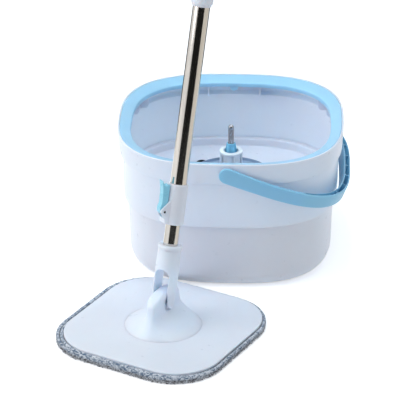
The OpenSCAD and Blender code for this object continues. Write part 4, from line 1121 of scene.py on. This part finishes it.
class SPINMOP_OT_pad(bpy.types.Operator):
    """Builds the microfibre pad: a soft two-layer body, its looped pile and its bound edge"""

    bl_idname = "spinmop.pad"
    bl_label = "Microfibre pad"
    # How deep inside the edge a loop is rooted.
    root = 1.6

    def execute(self, context):
        sizes = context.scene.spinmop_mop
        self.half = millimetres(sizes.plate_side) / 2 + millimetres(sizes.pad_spread)
        self.corner = millimetres(sizes.plate_corner) + millimetres(sizes.pad_spread)
        self.spread = millimetres(sizes.pad_spread)
        self.slip = Vector([millimetres(v) for v in sizes.pad_slip] + [0])
        self.frame = HEAD @ Matrix.Translation(self.slip)
        self.pile = millimetres(sizes.pile_height)
        self.spacing = millimetres(sizes.loop_spacing)
        self.luck = random.Random(sizes.loop_seed)
        self.body()
        self.edge_roll()
        self.backing()
        return {"FINISHED"}

    def body(self):
        """The cushion of pile: swollen by a short cloth simulation, then covered in loops."""
        out = 4.2
        steps = 360
        low, top = 1.5, self.pile
        rows = []
        for off, z in rounded([(40, low, 0), (0, low, 1.6), (0, top, 1.4), (40, top, 0)], steps=5)[1:-1]:
            rows.append(square_row(self.half + out - off, self.corner + out - off, z, steps))
        blends = (0.25, 0.5, 0.75)
        rows += [square_row(self.half, self.corner, top, steps, t, 25) for t in blends]
        rows += [circle(24.4, top, steps), circle(24.4, low, steps)]
        rows += [square_row(self.half, self.corner, low, steps, t, 25) for t in reversed(blends)]
        pad = Build().add(skin(rows, loop=True)).object("microfibre_pad")
        pad.data.transform(Matrix.Scale(MM, 4))
        self.swell(pad)
        pad.data.transform(Matrix.Scale(1 / MM, 4))
        for vertex in pad.data.vertices:
            vertex.co.z = min(max(vertex.co.z, 1.2), self.pile)
        join_into(pad, self.loops().object("pile_loops"))
        finish_piece(pad, self.frame, "microfibre_pile", "mop_head", ["pad_pile"], 80)

    def swell(self, pad):
        """Lets the cushion's cloth swell a little, as sewn pile does, and caps how far it moves."""
        rebuild = pad.modifiers.new("rebuild", "REMESH")
        rebuild.mode = "VOXEL"
        rebuild.voxel_size = 0.0022
        bake(pad)
        before = [v.co.copy() for v in pad.data.vertices]
        cloth = pad.modifiers.new("cloth", "CLOTH")
        cloth.settings.use_pressure = True
        cloth.settings.uniform_pressure_force = 3.0
        cloth.settings.effector_weights.gravity = 0.0
        cloth.settings.quality = 4
        scene = bpy.context.scene
        cloth.point_cache.frame_start, cloth.point_cache.frame_end = 1, 12
        for step in range(1, 13):
            scene.frame_set(step)
        after = [v.co.copy() for v in pad.evaluated_get(bpy.context.evaluated_depsgraph_get()).data.vertices]
        pad.modifiers.clear()
        scene.frame_set(1)
        cap = 0.0014
        for vertex, old, new in zip(pad.data.vertices, before, after):
            move = new - old
            if move.length > cap:
                move *= cap / move.length
            vertex.co = old + move

    def loop_shape(self, sides, segments, length, width, lean):
        """A short bent yarn loop that starts and ends in the cloth."""
        yarn_r = 0.62
        points, faces = [], []
        for k in range(segments + 1):
            t = math.pi * k / segments
            mid = Vector((width * 0.5 * math.cos(t), lean * math.sin(t), length * math.sin(t)))
            ahead = Vector((-width * 0.5 * math.sin(t), lean * math.cos(t), length * math.cos(t)))
            ahead.normalize()
            side = ahead.cross(Vector((0, 1, 0)))
            side = side.normalized() if side.length > 1e-6 else Vector((1, 0, 0))
            up = ahead.cross(side)
            for i in range(sides):
                a = 2 * math.pi * i / sides
                points.append(mid + (side * math.cos(a) + up * math.sin(a)) * yarn_r)
        for k in range(segments):
            for i in range(sides):
                j = (i + 1) % sides
                faces.append([k * sides + i, k * sides + j, (k + 1) * sides + j, (k + 1) * sides + i])
        faces.append(list(range(sides)))
        faces.append([segments * sides + i for i in reversed(range(sides))])
        return points, faces

    def loops(self):
        """Loops around the edge in rows, and a coarser field of them underneath."""
        pile = Build()
        shapes = [self.loop_shape(4, 6, 2.3 + 0.25 * n, 1.9, 0.5 * (n - 2)) for n in range(5)]
        small = [self.loop_shape(3, 4, 1.4 + 0.15 * n, 2.6, 0.5 * (n - 1)) for n in range(3)]
        rows = ((0.9, 1.2, -0.75), (2.4, 3.2, -0.3), (4.0, 3.8, 0.1), (5.5, 2.9, 0.45))
        for z, out, tilt in rows:
            turn = 0.0
            while turn < 2 * math.pi:
                step = self.spacing / square_reach(turn, self.half + out, self.corner + out)
                up, tip = self.luck.uniform(-0.5, 0.5), self.luck.uniform(-0.35, 0.35)
                here = self.place(turn, out, z + up, tilt + tip)
                spin = self.spin()
                size = Matrix.Scale(self.luck.uniform(0.8, 1.1), 4)
                pile.add(self.luck.choice(shapes), here @ spin @ size)
                turn += step * self.luck.uniform(0.8, 1.2)
        gap = 4.2
        count = int((self.half + 2) / gap)
        for ix in range(-count, count + 1):
            for iy in range(-count, count + 1):
                x = gap * (ix + 0.5 * (iy % 2)) + self.luck.uniform(-0.8, 0.8)
                y = gap * iy + self.luck.uniform(-0.8, 0.8)
                reach = math.hypot(x, y)
                if reach < 26 or reach > square_reach(math.atan2(y, x), self.half + 0.5, self.corner + 0.5):
                    continue
                spin = self.spin()
                pile.add(self.luck.choice(small), moved(x, y, 2.1) @ about(180, "X") @ spin)
        for point in pile.points:
            point.z = max(point.z, 0.02)
        return pile

    def spin(self):
        return Matrix.Rotation(self.luck.uniform(0, math.pi), 4, "Z")

    def place(self, turn, out, z, tilt):
        """The frame of a loop on the edge: its Z points outwards, tipped up or down."""
        half, corner = self.half + out, self.corner + out
        a, b = turn - 0.002, turn + 0.002
        pa = Vector((math.cos(a), math.sin(a), 0)) * square_reach(a, half, corner)
        pb = Vector((math.cos(b), math.sin(b), 0)) * square_reach(b, half, corner)
        along = (pb - pa).normalized()
        outward = Vector((along.y, -along.x, 0))
        middle = (pa + pb) / 2 + Vector((0, 0, z)) - outward * self.root
        up = (outward * math.cos(tilt) + Vector((0, 0, 1)) * math.sin(tilt)).normalized()
        return frame_from(middle, along, up)

    def edge_roll(self):
        """The bound edge: one soft chenille roll round the pad, and a flatter one that fills the room the
        plate leaves inside it, both of light yarn with blue-grey flecks."""
        radius = 2.3
        roll = Build()
        height = self.pile + radius + 0.1
        self.chenille(roll, lambda turn: (radius + 0.3, radius), height, (-50, -15, 20, 58, 95))
        self.chenille(roll, self.inner_roll, self.pile + 1.7, (30, 62, 95, 128, 160))
        edge = roll.object("bound_pad_edge")
        finish_piece(edge, self.frame, "microfibre_edge", "mop_head", ["pad_binding"], 80)

    def inner_roll(self, turn):
        """How far out the inner roll lies and how thick it is, from the room beside the plate there."""
        outward = self.place(turn, 0, 0, 0.0).to_3x3() @ Vector((0, 0, 1))
        room = self.spread + self.slip.dot(outward)
        return 0.1 - room / 2, max(room / 2 - 0.1, 0.4)

    def chenille(self, roll, course, z, angles):
        """A lumpy roll of yarn along its course, with short loops standing on the sides that show."""
        rows = []
        steps = 900
        for i in range(steps):
            turn = 2 * math.pi * i / steps
            out, radius = course(turn)
            here = self.place(turn, out, z, 0.0)
            lump = radius * (0.93 + 0.07 * math.sin(turn * 161) * math.cos(turn * 97 + 1.3))
            around = [2 * math.pi * k / 12 for k in range(12)]
            ring = [(0, lump * math.sin(a), self.root + lump * math.cos(a)) for a in around]
            rows.append([here @ Vector(point) for point in ring])
        roll.add(skin(rows, loop=True))
        shapes = [self.loop_shape(4, 5, 1.5 + 0.15 * n, 1.7, 0.4 * (n - 1)) for n in range(3)]
        for angle in angles:
            turn = self.luck.uniform(0, 0.01)
            while turn < 2 * math.pi:
                out, radius = course(turn)
                reach = square_reach(turn, self.half + out, self.corner + out)
                a = math.radians(angle + self.luck.uniform(-12, 12))
                here = self.place(turn, out, z, 0.0)
                centre = moved(0, 0, self.root)
                spread = Matrix.Rotation(a, 4, "X") @ moved(0, 0, radius * 0.55)
                spin = self.spin()
                size = Matrix.Scale(0.8 if radius > 1.2 else 0.2, 4)
                roll.add(self.luck.choice(shapes), here @ centre @ spread @ spin @ size)
                turn += self.spacing / reach * self.luck.uniform(0.85, 1.2)

    def backing(self):
        """The woven backing that the hook strips hold."""
        low, top = span("pad_backing", 2)
        steps = 288
        rows = []
        for off, z in rounded([(40, low, 0), (0, low, 0.3), (0, top, 0.4), (40, top, 0)], steps=3)[1:-1]:
            rows.append(square_row(self.half - 1 - off, self.corner - 1 - off, z, steps))
        rows += [circle(24, top, steps), circle(24, low, steps)]
        cloth = Build().add(skin(rows, loop=True)).object("woven_pad_backing")
        finish_piece(cloth, self.frame, "woven_backing", "mop_head", ["pad_backing"], 60)


# ---- Fork and lower pole ----

# The two tubes of the pole, in millimetres.
INNER_R, INNER_BORE = 11.0, 10.2
OUTER_R, OUTER_BORE = 12.5, 12.0
SOCKET_R = OUTER_R + 0.02


class SPINMOP_OT_fork(bpy.types.Operator):
    """Builds the white fork, the steel inner tube and the knuckle's pin"""

    bl_idname = "spinmop.fork"
    bl_label = "Fork and inner tube"

    def execute(self, context):
        low, top = pole_span("fork_socket")
        tip_r, gap, arch = 9.0, 11.8, 50.0
        lip, lip_bore, screw_z = top - 6.0, INNER_R + 0.05, top - 18
        profile = [(0, low - 1), (16.0, low - 1), (17.9, arch / 2), (17.6, arch), (17.0, lip - 1)]
        profile += [(16.5, lip - 0.7), (16.5, lip + 1), (0, lip + 1)]
        body = solid("white_fork", lathe(profile, 96))
        flank = [(11.6, 14), (18.4, arch), (19, arch + 6), (19, top + 1)]
        side = arc(tip_r, 180, 360, 24) + flank + [(-x, z) for x, z in reversed(flank)]
        slot = [(-gap, low - 5), (gap, low - 5)] + [(x, arch - gap + z) for x, z in arc(gap, 0, 180, 32)]
        combine(body, "INTERSECT", Build().add(prism(side, -20, 20), UP_ALONG_Y))
        combine(
            body,
            "DIFFERENCE",
            Build().add(prism(slot, -30, 30), UP_ALONG_X),
            rod(INNER_R + 0.02, top - 30, top + 9, edge=0.1, steps=96),
            Build().add(rod(1.5, 8, 30, edge=0.1), moved(0, 0, screw_z) @ ALONG_Y),
            Build().add(rod(3.0, 15.2, 30, edge=0.1), moved(0, 0, screw_z) @ ALONG_Y),
        )
        soften(body, 0.5, 3)
        ring = turned([(lip_bore, lip, 0.2), (18, lip, 0.7), (18, top, 1.1), (lip_bore, top, 0.6)], 128)
        join_into(body, solid("fork_lip", ring))
        finish_piece(body, POLE, "white_polypropylene", "lower_pole", ["fork_socket"], 38)
        foot, head = pole_span("inner_tube")
        pipe = solid("inner_steel_tube", tube(INNER_R, INNER_BORE, foot, head, edge=0.3, steps=128))
        finish_piece(pipe, POLE, "polished_tube_steel", "lower_pole", ["inner_tube"], 40)
        pin = solid("knuckle_pin", rod(2.5, -14.2, 14.2, edge=0.5), moved(0, 0, PIVOT.z) @ ALONG_X)
        finish_piece(pin, HEAD, "blackened_pin_steel", "mop_head", ["pivot_pin"], 40)
        return {"FINISHED"}


# ---- Lock ----


class SPINMOP_OT_lock(bpy.types.Operator):
    """Builds the white lock sleeve with its cheeks, the cross pin and the teal lever"""

    bl_idname = "spinmop.lock"
    bl_label = "Lock sleeve and lever"

    def execute(self, context):
        low, top = pole_span("lock_sleeve")
        pin_x, pin_z = LEVER_PIN.x, LEVER_PIN.z
        pin_place = moved(pin_x, 0, pin_z) @ ALONG_Y
        neck_r, shoulder = 11.4, low + 10.6
        section = [(neck_r, low, 0.3), (15, low, 0.8), (15, top, 0.9)]
        section += [(SOCKET_R, top, 0.5), (SOCKET_R, shoulder, 0.2), (neck_r, shoulder, 0.2)]
        sleeve = solid("white_lock_sleeve", turned(section, 128, 4))
        half, face, room = 8.8, 26.9, 6.4
        cheeks = [(8, low + 0.6, 0), (18, low + 1, 1.2), (19.4, low + 3.4, 1.4), (19, low + 6.4, 1.6)]
        cheeks += [(pin_x + 1.4, pin_z - 8.8, 2.5), (face - 0.4, pin_z - 0.2, 0.8), (face, pin_z + 1.4, 0.7)]
        cheeks += [(face - 0.5, pin_z + 2.6, 0.7), (9, pin_z + 22.6, 0)]
        outline = rounded(cheeks, closed=True, steps=5)
        combine(sleeve, "UNION", Build().add(prism(outline, -half, half), UP_ALONG_X))
        combine(
            sleeve,
            "DIFFERENCE",
            rod(SOCKET_R, shoulder, top + 3, edge=0.1, steps=128),
            rod(neck_r, low - 3, low + 12, edge=0.1, steps=128),
            block((12.7, -room, pin_z - 8.5), (40, room, pin_z + 8.5)),
            block((15.1, -room, low + 9.8), (40, room, pin_z + 40)),
            Build().add(rod(1.78, -half - 2, half + 2, edge=0.1), pin_place),
        )
        soften(sleeve, 0.42, 2)
        finish_piece(sleeve, LEVER, "white_polypropylene", "upper_pole", ["lock_sleeve"], 40)
        cross = solid("lever_cross_pin", rod(1.75, 0.8 - half, half - 0.8, edge=0.3), pin_place)
        finish_piece(cross, LEVER, "blackened_pin_steel", "upper_pole", ["lever_pin"])
        self.lever(pin_x, pin_z)
        return {"FINISHED"}

    def lever(self, pin_x, pin_z):
        back, bulge, waist, tip, skin_t, height = 15.5, 27.0, 24.8, 29.0, 3.0, 49.0
        outline = rounded(
            [
                (pin_x + 1.4, pin_z - 4.6, 1.5),
                (bulge - 1.8, pin_z - 1.8, 1.8),
                (bulge, pin_z + 3, 1.8),
                (bulge - 0.2, pin_z + 6, 2.0),
                (waist, pin_z + 12, 5.0),
                (waist + 0.4, pin_z + 28, 9.0),
                (tip - 2.4, pin_z + height - 10, 6.0),
                (tip, pin_z + height, 0.6),
                (tip - skin_t, pin_z + height - 6, 2.5),
                (waist - skin_t, pin_z + height - 11, 1.0),
                (back + 2, pin_z + height - 8, 1.0),
                (back, pin_z + height - 10, 0.8),
                (back, pin_z + 8, 1.0),
                (back + 0.3, pin_z - 1.6, 1.2),
                (pin_x - 1, pin_z - 4.4, 1.5),
            ],
            closed=True,
            steps=5,
        )
        lever = solid("teal_lock_lever", prism(outline, -6, 6), UP_ALONG_X)
        combine(lever, "DIFFERENCE", Build().add(rod(1.8, -8, 8, edge=0.1), moved(pin_x, 0, pin_z) @ ALONG_Y))
        soften(lever, 0.32, 2)
        finish_piece(lever, LEVER, "lever_polypropylene", "lock_lever", ["lock_lever"], 40)


# ---- Upper pole ----


class SPINMOP_OT_pole(bpy.types.Operator):
    """Builds the sliding tube, coupling collar, upper tube, grip and hanging cap"""

    bl_idname = "spinmop.pole"
    bl_label = "Upper pole"

    def execute(self, context):
        for node, name in (("outer_tube", "outer_steel_tube"), ("upper_tube", "upper_steel_tube")):
            low, top = pole_span(node)
            pipe = solid(name, tube(OUTER_R, OUTER_BORE, low, top, edge=0.3, steps=128))
            finish_piece(pipe, POLE, "polished_tube_steel", "upper_pole", [node], 40)
        low, top = pole_span("coupling_collar")
        section = [(SOCKET_R, low, 0.2), (13.4, low, 0.5), (15.6, low + 5.2, 4.0), (16, low + 12, 6.0)]
        section += [(16, top - 5, 4.0), (14.2, top, 1.2), (SOCKET_R, top, 0.2)]
        collar = solid("white_coupling_collar", turned(section, 128, 6))
        finish_piece(collar, POLE, "white_polypropylene", "upper_pole", ["coupling_collar"], 40)
        self.grip()
        self.cap()
        return {"FINISHED"}

    def grip(self):
        low, top = pole_span("pole_grip")
        radius = 15.5
        corners = [(SOCKET_R, low, 0.2), (13.6, low, 0.6), (radius, low + 7, 3.0)]
        step = (top - low) / 10
        for i in range(2, 9):
            ring_z = low + step * i
            corners += [(radius, ring_z - 1.5, 1.0), (radius - 0.8, ring_z, 2.0), (radius, ring_z + 1.5, 1.0)]
        corners += [(radius, top, 1.0), (SOCKET_R, top, 0.2)]
        sleeve = solid("ringed_grip", turned(corners, 128, 4))
        finish_piece(sleeve, POLE, "soft_grip_rubber", "upper_pole", ["pole_grip"], 40)

    def cap(self):
        low, top = pole_span("hanging_cap")
        grip_top = pole_span("pole_grip")[1]
        eye_z = top - 14
        eye_place = moved(0, 0, eye_z) @ ALONG_X
        cap = solid("hanging_cap_cover", rod(15.5, grip_top, grip_top + 6, edge=1.5, steps=96))
        disc = Build().add(rod(14, -5, 5, edge=1.5, steps=96), eye_place)
        neck = block((-5, -13.5, grip_top + 3), (5, 13.5, eye_z))
        combine(cap, "UNION", disc, neck, rod(11.95, low, grip_top + 2, edge=0.5, steps=96))
        waist = rounded([(0, -9, 0), (11, -9, 0), (8, -3.6, 2), (8, 3.6, 2), (11, 9, 0), (0, 9, 0)], steps=5)
        combine(cap, "DIFFERENCE", Build().add(lathe(waist, 72), eye_place))
        soften(cap, 0.55, 3)
        finish_piece(cap, POLE, "white_polypropylene", "upper_pole", ["hanging_cap"], 50)


class SPINMOP_OT_small_parts(bpy.types.Operator):
    """Gives the CAD's own bushes, screws, clips, nut and drive strip their finishes"""

    bl_idname = "spinmop.small_parts"
    bl_label = "Small parts"

    def execute(self, context):
        finishes = {
            "natural_nylon": [
                "upper_bush", "lower_bush", "bail_clips", "nut_housing", "tube_glide",
                "guide_bush", "rod_stop", "rod_plug", "coupling_stud",
            ],
            "turned_steel": ["spindle_washer", "spindle_screw", "dome_screws", "fork_screw"],
            "orange_acetal": ["drive_nut"],
            "galvanised_strip_steel": ["drive_rod"],
            "hook_tape": ["hook_strips"],
        }
        for finish, nodes in finishes.items():
            for node in nodes:
                mesh = frame["nodes"][node].data
                mesh.materials.clear()
                mesh.materials.append(bpy.data.materials[finish])
        return {"FINISHED"}


# ---- Stage ----


def flat_mesh(name, points, faces, material):
    """An object of a few plain faces, in metres."""
    mesh = bpy.data.meshes.new(name)
    mesh.from_pydata(points, [], faces)
    mesh.materials.append(bpy.data.materials[material])
    return place_object(name, mesh)


def area_light(name, place, target, size, power, tint, spread=180):
    lamp = bpy.data.lights.new(name, "AREA")
    lamp.spread = math.radians(spread)
    lamp.shape = "RECTANGLE"
    lamp.size, lamp.size_y = size
    lamp.energy = power
    lamp.color = tint
    obj = place_object(name, lamp)
    obj.location = place
    obj.rotation_euler = (Vector(target) - Vector(place)).to_track_quat("-Z", "Y").to_euler()


class SPINMOP_OT_stage(bpy.types.Operator):
    """Sets the pale floor, the soft lamps, the cards that metal reflects, and the camera"""

    bl_idname = "spinmop.stage"
    bl_label = "Stage"

    def execute(self, context):
        self.floor()
        self.world()
        self.cards()
        middle, inside = (0, -0.1, 0.15), (0, 0, 0.1)
        area_light("soft_key", (-3.0, -0.9, 1.7), middle, (2.2, 2.2), 50, (1.0, 0.995, 0.985))
        area_light("soft_fill", (2.6, -0.9, 1.6), middle, (1.6, 2.0), 7, (0.97, 0.985, 1.0))
        area_light("soft_top", (-0.1, -0.4, 3.0), middle, (2.4, 2.0), 30, (0.80, 0.935, 1.0))
        area_light("bucket_snoot", (0, 0, 1.6), inside, (0.3, 0.3), 0.16, (0.66, 0.84, 1.0), spread=24)
        self.camera(context.scene.spinmop_view)
        context.scene.view_settings.view_transform = "Standard"
        return {"FINISHED"}

    def floor(self):
        tree = new_material("matt_white_floor")
        paint = {"Base Color": rgba(linear("#F2F3F5")), "Roughness": 0.9}
        matt = add_node(tree, "ShaderNodeBsdfPrincipled", paint)
        glow = add_node(tree, "ShaderNodeEmission", {"Color": WHITE, "Strength": 0.5})
        lit = add_node(tree, "ShaderNodeAddShader", {0: matt, 1: glow})
        mix = add_node(tree, "ShaderNodeMixShader", {0: seen_directly(tree), 1: matt, 2: lit})
        add_node(tree, "ShaderNodeOutputMaterial", {"Surface": mix})
        corners = [(-12, -12, 0), (12, -12, 0), (12, 12, 0), (-12, 12, 0)]
        flat_mesh("pale_floor", corners, [[0, 1, 2, 3]], "matt_white_floor")

    def world(self):
        world = bpy.data.worlds.new("studio")
        bpy.context.scene.world = world
        world.use_nodes = True
        tree = world.node_tree
        tree.nodes.clear()
        fill = add_node(tree, "ShaderNodeBackground", {"Color": (0.90, 0.945, 1.0, 1), "Strength": 0.47})
        white = add_node(tree, "ShaderNodeBackground", {"Color": WHITE, "Strength": 1.0})
        inputs = {0: seen_directly(tree), 1: fill, 2: white}
        mix = add_node(tree, "ShaderNodeMixShader", inputs)
        add_node(tree, "ShaderNodeOutputWorld", {"Surface": mix})

    def cards(self):
        """Cards that only metal and gloss see, as a studio sets them to draw a polished tube: a black one
        in front, over the floor and up, for its dark core, a warm one beside it, and a black one behind
        for its dark edges."""
        for name, hex_colour, glow in (
            ("black_velvet_card", "#141311", 0.0),
            ("warm_grey_card", "#D6CFC4", 0.45),
            ("pale_card", "#E6E3E0", 0.32),
            ("grey_card", "#CFC9C2", 0.5),
        ):
            self.card_material(name, hex_colour, glow)
        for name, material, from_deg, to_deg, near, far, top in (
            ("front_card", "black_velvet_card", -38, 50, 0.34, 3.4, 4.5),
            ("side_card", "warm_grey_card", 51, 118, 0.13, 3.4, 4.5),
            ("back_card", "black_velvet_card", 126, 234, 0.8, 3.4, 0.01),
            ("left_card", "pale_card", 235, 321, 0.5, 3.4, 4.5),
            ("left_near_card", "grey_card", 235, 321, 0.13, 0.49, 0.01),
        ):
            points, faces = [], []
            count = 16
            for i in range(count + 1):
                a = math.radians(from_deg + (to_deg - from_deg) * i / count)
                for radius, height in ((near, 0.002), (far, 0.002), (far, top)):
                    points.append((-0.06 + radius * math.sin(a), -0.22 - radius * math.cos(a), height))
            for i in range(count):
                k = 3 * i
                faces += [[k, k + 3, k + 4, k + 1], [k + 1, k + 4, k + 5, k + 2]]
            card = flat_mesh(name, points, faces, material)
            card.visible_camera = False
            card.visible_diffuse = False
            card.visible_shadow = False
            card.visible_transmission = False

    def card_material(self, name, hex_colour, glow):
        tree = new_material(name)
        colour = rgba(linear(hex_colour))
        cloth = {"Base Color": colour, "Roughness": 1.0, "Emission Color": colour, "Emission Strength": glow}
        shader = add_node(tree, "ShaderNodeBsdfPrincipled", cloth)
        add_node(tree, "ShaderNodeOutputMaterial", {"Surface": shader})

    def camera(self, view):
        a, e, roll = view.azimuth, view.elevation, view.roll
        ahead = Vector((-math.sin(a) * math.cos(e), math.cos(a) * math.cos(e), -math.sin(e)))
        right = Vector((math.cos(a), math.sin(a), 0))
        up = right.cross(ahead)
        right, up = right * math.cos(roll) + up * math.sin(roll), up * math.cos(roll) - right * math.sin(roll)
        data = bpy.data.cameras.new("camera")
        data.lens = view.lens
        data.sensor_width = 36.0
        data.clip_start, data.clip_end = 0.1, 60.0
        camera = place_object("camera", data)
        turn = Matrix((right, up, -ahead)).transposed().to_4x4()
        camera.matrix_world = Matrix.Translation(Vector(view.target) - ahead * view.distance) @ turn
        bpy.context.scene.camera = camera


class SPINMOP_PT_panel(bpy.types.Panel):
    """Lists the pieces in the 3D view's sidebar"""

    bl_idname = "SPINMOP_PT_panel"
    bl_label = "Spin mop"
    bl_space_type = "VIEW_3D"
    bl_region_type = "UI"
    bl_category = "Spin mop"

    def draw(self, context):
        for operator in OPERATORS:
            self.layout.operator(operator.bl_idname)
        for group, kind in GROUPS.items():
            column = self.layout.column()
            for name in kind.__annotations__:
                column.prop(getattr(context.scene, group), name)


OPERATORS = [
    SPINMOP_OT_finishes,
    SPINMOP_OT_bucket,
    SPINMOP_OT_rim_ring,
    SPINMOP_OT_tray,
    SPINMOP_OT_seat,
    SPINMOP_OT_bail,
    SPINMOP_OT_plate,
    SPINMOP_OT_dome,
    SPINMOP_OT_pad,
    SPINMOP_OT_fork,
    SPINMOP_OT_lock,
    SPINMOP_OT_pole,
    SPINMOP_OT_small_parts,
    SPINMOP_OT_stage,
]
GROUPS = {
    "spinmop_bucket": SpinMopBucketSizes,
    "spinmop_mop": SpinMopMopSizes,
    "spinmop_finishes": SpinMopFinishes,
    "spinmop_view": SpinMopView,
}


def register():
    for group in GROUPS.values():
        bpy.utils.register_class(group)
    for operator in OPERATORS:
        bpy.utils.register_class(operator)
    bpy.utils.register_class(SPINMOP_PT_panel)
    for name, group in GROUPS.items():
        setattr(bpy.types.Scene, name, PointerProperty(type=group))


def unregister():
    for name in GROUPS:
        delattr(bpy.types.Scene, name)
    bpy.utils.unregister_class(SPINMOP_PT_panel)
    for operator in reversed(OPERATORS):
        bpy.utils.unregister_class(operator)
    for group in reversed(list(GROUPS.values())):
        bpy.utils.unregister_class(group)


def main():
    register()
    for operator in OPERATORS:
        space, name = operator.bl_idname.split(".")
        getattr(getattr(bpy.ops, space), name)()


if __name__ == "__main__":
    main()
